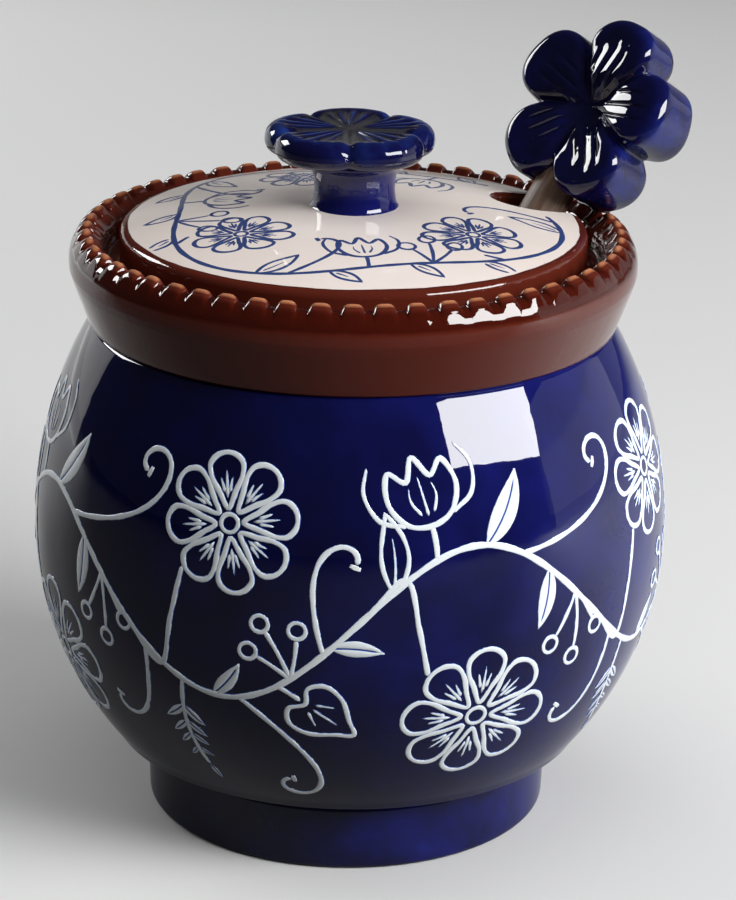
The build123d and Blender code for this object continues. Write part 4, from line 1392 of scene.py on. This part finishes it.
# %% A flowering vine
VINE_MOTIFS = [   # phase along a wave, turn from the vine, motif, size, hand
    (30, 55, "open leaf", 14.0, 1), (62, 66, "tulip", 13.5, 1), (100, 70, "leaf", 15.0, 1),
    (128, 36, "tendril", 43.0, 1), (146, -62, "leaf", 12.0, -1), (168, -40, "berries", 11.0, -1),
    (212, -52, "tendril", 27.0, -1), (238, -72, "sprig", 22.0, 1), (262, 62, "leaf", 9.0, 1),
    (280, -52, "tendril", 38.0, -1), (312, -58, "heart", 11.5, -1), (318, 66, "berries", 10.5, 1),
    (345, 62, "tendril", 27.0, -1), (350, -52, "leaf", 10.0, -1)]
VINE_BLOOMS = [   # phase, how far from the vine's middle, radius, phase where its stalk leaves
    (95, -19.0, 14.2, 12), (275, 18.5, 12.6, 196)]
PHASE_STRAY, SIZE_STRAY, TURN_STRAY = 3, 0.05, 4   # in degrees, as a share, in degrees
STEM_WIDTH = 1.15
STALK_REACH, STALK_LEAD, STALK_BEND = 0.98, 0.32, 0.52   # where a bloom's stalk stops and bends


def put_down(strokes, azimuth, climb, reach):
    """Strokes in flat millimetres, laid out from a place on the surface."""
    laid = []
    for one in strokes:
        x, y = one["points"].T
        at = climb + y
        laid.append(dict(one, points=np.stack([azimuth + x / reach(at), at], -1)))
    return laid


def flowering_vine(seed, middle, swing, waves, start, span, reach, scale, line, motifs, blooms):
    """A wavy stem with flowers in its hollows and small motifs along it, each as a group of strokes.

    The stem swings about a climb called middle, from the azimuth start over a span. Motifs are
    made at a scale and lines drawn at a share of their width.
    """
    chance = random.Random(seed)

    def climb_at(share):
        return middle + swing * np.sin(2 * pi * waves * share)

    def place_at(phase, wave):
        share = (wave + phase / 360) / waves
        climb, small = climb_at(share), 1e-4
        slope = (climb_at(share + small) - climb_at(share - small)) / (2 * small * span * reach(climb))
        return start + share * span, climb, degrees(atan2(slope, 1))

    share = np.linspace(0, 1, int(span * reach(middle) / LINE_STEP))
    stem = stroke(np.stack([start + share * span, climb_at(share)], -1), STEM_WIDTH * line)
    groups = [[stem]]
    for wave in range(waves):
        for phase, turn, kind, size, side in motifs:
            azimuth, climb, way = place_at(phase + chance.uniform(-PHASE_STRAY, PHASE_STRAY), wave)
            size_now = size * scale * chance.uniform(1 - SIZE_STRAY, 1 + SIZE_STRAY)
            turn_now = way + turn + chance.uniform(-TURN_STRAY, TURN_STRAY)
            motif = moved(thinned(MOTIFS[kind](size_now, side), line), turn=turn_now)
            groups.append(put_down(motif, azimuth, climb, reach))
        for phase, height, radius, stalk_phase in blooms:
            azimuth, _, _ = place_at(phase, wave)
            climb = middle + height * scale
            flower_head = moved(rosette(radius * scale), turn=chance.uniform(0, 360 / ROSETTE_PETALS))
            groups.append(put_down(thinned(flower_head, line), azimuth, climb, reach))
            foot_azimuth, foot_climb, way = place_at(stalk_phase, wave)
            gap = np.array(((azimuth - foot_azimuth) * reach(climb), climb - foot_climb))
            length = np.linalg.norm(gap)
            tip = gap * (1 - STALK_REACH * radius * scale / length)
            lead = np.array((cos(radians(way)), sin(radians(way)))) * length * STALK_LEAD
            stalk = stroke(through([(0, 0), lead, (lead + tip) * STALK_BEND, tip]), OUTLINE * line)
            groups.append(put_down([stalk], foot_azimuth, foot_climb, reach))
    return groups


# %% [markdown]
# ## White slip on the belly
#
# The vine goes once round the belly in four waves. A place on the wall is an azimuth and a climb,
# measured in millimetres along the wall from where it tucks in at the foot. That keeps the motifs
# true, where plain height would squeeze them near the foot and the neck. The belly's formula gives
# each place and the direction that stands out from it, with the same ripple as the wall itself.

# %% White slip on the belly
SLIP_SUNK, WALL_SAMPLES = 0.04, 400
drawn_heights = np.linspace(TURN_TOP, SEAM_HEIGHT, WALL_SAMPLES)
drawn_radii = belly_radius(drawn_heights)
climbs = np.concatenate([[0], np.cumsum(np.hypot(np.diff(drawn_heights), np.diff(drawn_radii)))])
leans = np.arctan2(-np.gradient(drawn_radii), np.gradient(drawn_heights))
print(f"the belly's side is {climbs[-1]:.1f} mm long from its turn to the seam")


def on_belly(azimuth, climb):
    """Points on the glazed belly, and the directions that stand out from it."""
    height, lean = np.interp(climb, climbs, drawn_heights), np.interp(climb, climbs, leans)
    radius = belly_radius(height) + ripple(azimuth, height)
    return (
        np.stack([radius * np.cos(azimuth), radius * np.sin(azimuth), height], -1),
        np.stack([np.cos(lean) * np.cos(azimuth), np.cos(lean) * np.sin(azimuth), np.sin(lean)], -1))


def round_belly(climb):
    """Millimetres to a radian round the belly, at a climb."""
    return np.interp(climb, climbs, drawn_radii)


belly_vine = flowering_vine(
    seed=11, middle=climbs[-1] / 2, swing=15.0, waves=4, start=0.0, span=2 * pi, reach=round_belly,
    scale=1.0, line=1.22, motifs=VINE_MOTIFS, blooms=VINE_BLOOMS)
belly_strokes = [one for group in belly_vine for one in group]
slip_drawing = trail("slip_drawing", belly_strokes, on_belly, round_belly, RELIEF, SLIP_SUNK, slip)
settle(slip_drawing, "pot", "blue_glaze")

# %% [markdown]
# ## Blue brushwork on the lid
#
# The lid has the same vine, smaller, in brushed blue on cream, from one side of the notch round to
# the other. Its climb is counted inwards from the lid's edge. The dome is a CAD shape whose formula
# isn't known here, so each point is felt for with a ray from above. Strokes are cut where they
# would cross the edge, the notch or the knob, and a motif that would lose much is left out.

# %% Blue brushwork on the lid
LID_RADIUS = node_radius("lid_plate")
NOTCH_AZIMUTH, NOTCH_HALF, NOTCH_INNER = radians(25), 6.9, 30.1
LID_MOTIFS = [
    (16, -54, "open leaf", 9.5, -1), (54, 74, "tulip", 12.5, 1), (98, -58, "open leaf", 10.0, -1),
    (126, 66, "berries", 11.0, 1), (176, -52, "open leaf", 9.5, -1), (262, -56, "open leaf", 9.0, -1),
    (312, 62, "open leaf", 13.0, 1), (338, 44, "tendril", 26.0, 1)]
LID_BLOOMS = [(226, 12.5, 11.5, 176)]
NOTCH_SPAN = radians(19)                   # left free on each side of the notch's middle
MOSTLY = 0.75                              # a motif that would keep less of itself is left out
CLEAR_OF_EDGE, CLEAR_OF_NOTCH, CLEAR_OF_NOTCH_END, CLEAR_RADIUS = 1.9, 1.4, 2.4, 11
LEAST_POINTS = 4                           # shorter bits of a stroke aren't drawn
BRUSH_RISE, BRUSH_SUNK = 0.03, 0.02
ABOVE_LID = 0.2                            # where the feeling rays start, in metres
lid_mesh = frame["nodes"]["lid_plate"].data
lid_top = BVHTree.FromPolygons(
    [vertex.co for vertex in lid_mesh.vertices], [polygon.vertices for polygon in lid_mesh.polygons])


def round_lid(climb):
    """Millimetres to a radian round the lid, at a distance inwards from its edge."""
    return LID_RADIUS - climb


def on_lid(azimuth, climb):
    """Points on top of the lid, felt from above, and straight up from each."""
    radius = LID_RADIUS - climb
    x, y = radius * np.cos(azimuth), radius * np.sin(azimuth)
    z = np.zeros_like(x)
    for place in np.ndindex(x.shape):
        hit = lid_top.ray_cast(Vector((x[place] * MM, y[place] * MM, ABOVE_LID)), Vector((0, 0, -1)))[0]
        z[place] = hit.z / MM
    return np.stack([x, y, z], -1), np.stack([0 * x, 0 * x, 1 + 0 * x], -1)


def cut_at_edges(one):
    """The parts of a stroke that keep off the lid's edge, its notch and its knob."""
    azimuth, climb = one["points"].T
    radius = LID_RADIUS - climb
    out, side = radius * np.cos(azimuth - NOTCH_AZIMUTH), radius * np.sin(azimuth - NOTCH_AZIMUTH)
    in_notch = (np.abs(side) < NOTCH_HALF + CLEAR_OF_NOTCH) & (out > NOTCH_INNER - CLEAR_OF_NOTCH_END)
    clear = (climb > CLEAR_OF_EDGE) & ~in_notch & (radius > CLEAR_RADIUS)
    if clear.all():
        return [one]
    if one["leaf"]:
        return []
    parts, start = [], None
    for number, good in enumerate(list(clear) + [False]):
        if good and start is None:
            start = number
        if not good and start is not None:
            if number - start > LEAST_POINTS:
                parts.append(dict(one, points=one["points"][start:number], loop=False))
            start = None
    return parts


def length_of(strokes):
    """How many points some strokes have, which are evenly spaced."""
    return sum(len(one["points"]) for one in strokes)


lid_vine = flowering_vine(
    seed=5, middle=7.6, swing=3.6, waves=3, start=NOTCH_AZIMUTH + NOTCH_SPAN, span=2 * pi - 2 * NOTCH_SPAN,
    reach=round_lid, scale=0.80, line=1.0, motifs=LID_MOTIFS, blooms=LID_BLOOMS)
lid_strokes = []
for group in lid_vine:
    kept = [part for one in group for part in cut_at_edges(one)]
    if length_of(kept) >= MOSTLY * length_of(group):
        lid_strokes += kept
print(f"{len(lid_strokes)} brush strokes on the lid")
lid_brushwork = trail("lid_brushwork", lid_strokes, on_lid, round_lid, BRUSH_RISE, BRUSH_SUNK, brush)
settle(lid_brushwork, "lid", "cream_glaze")
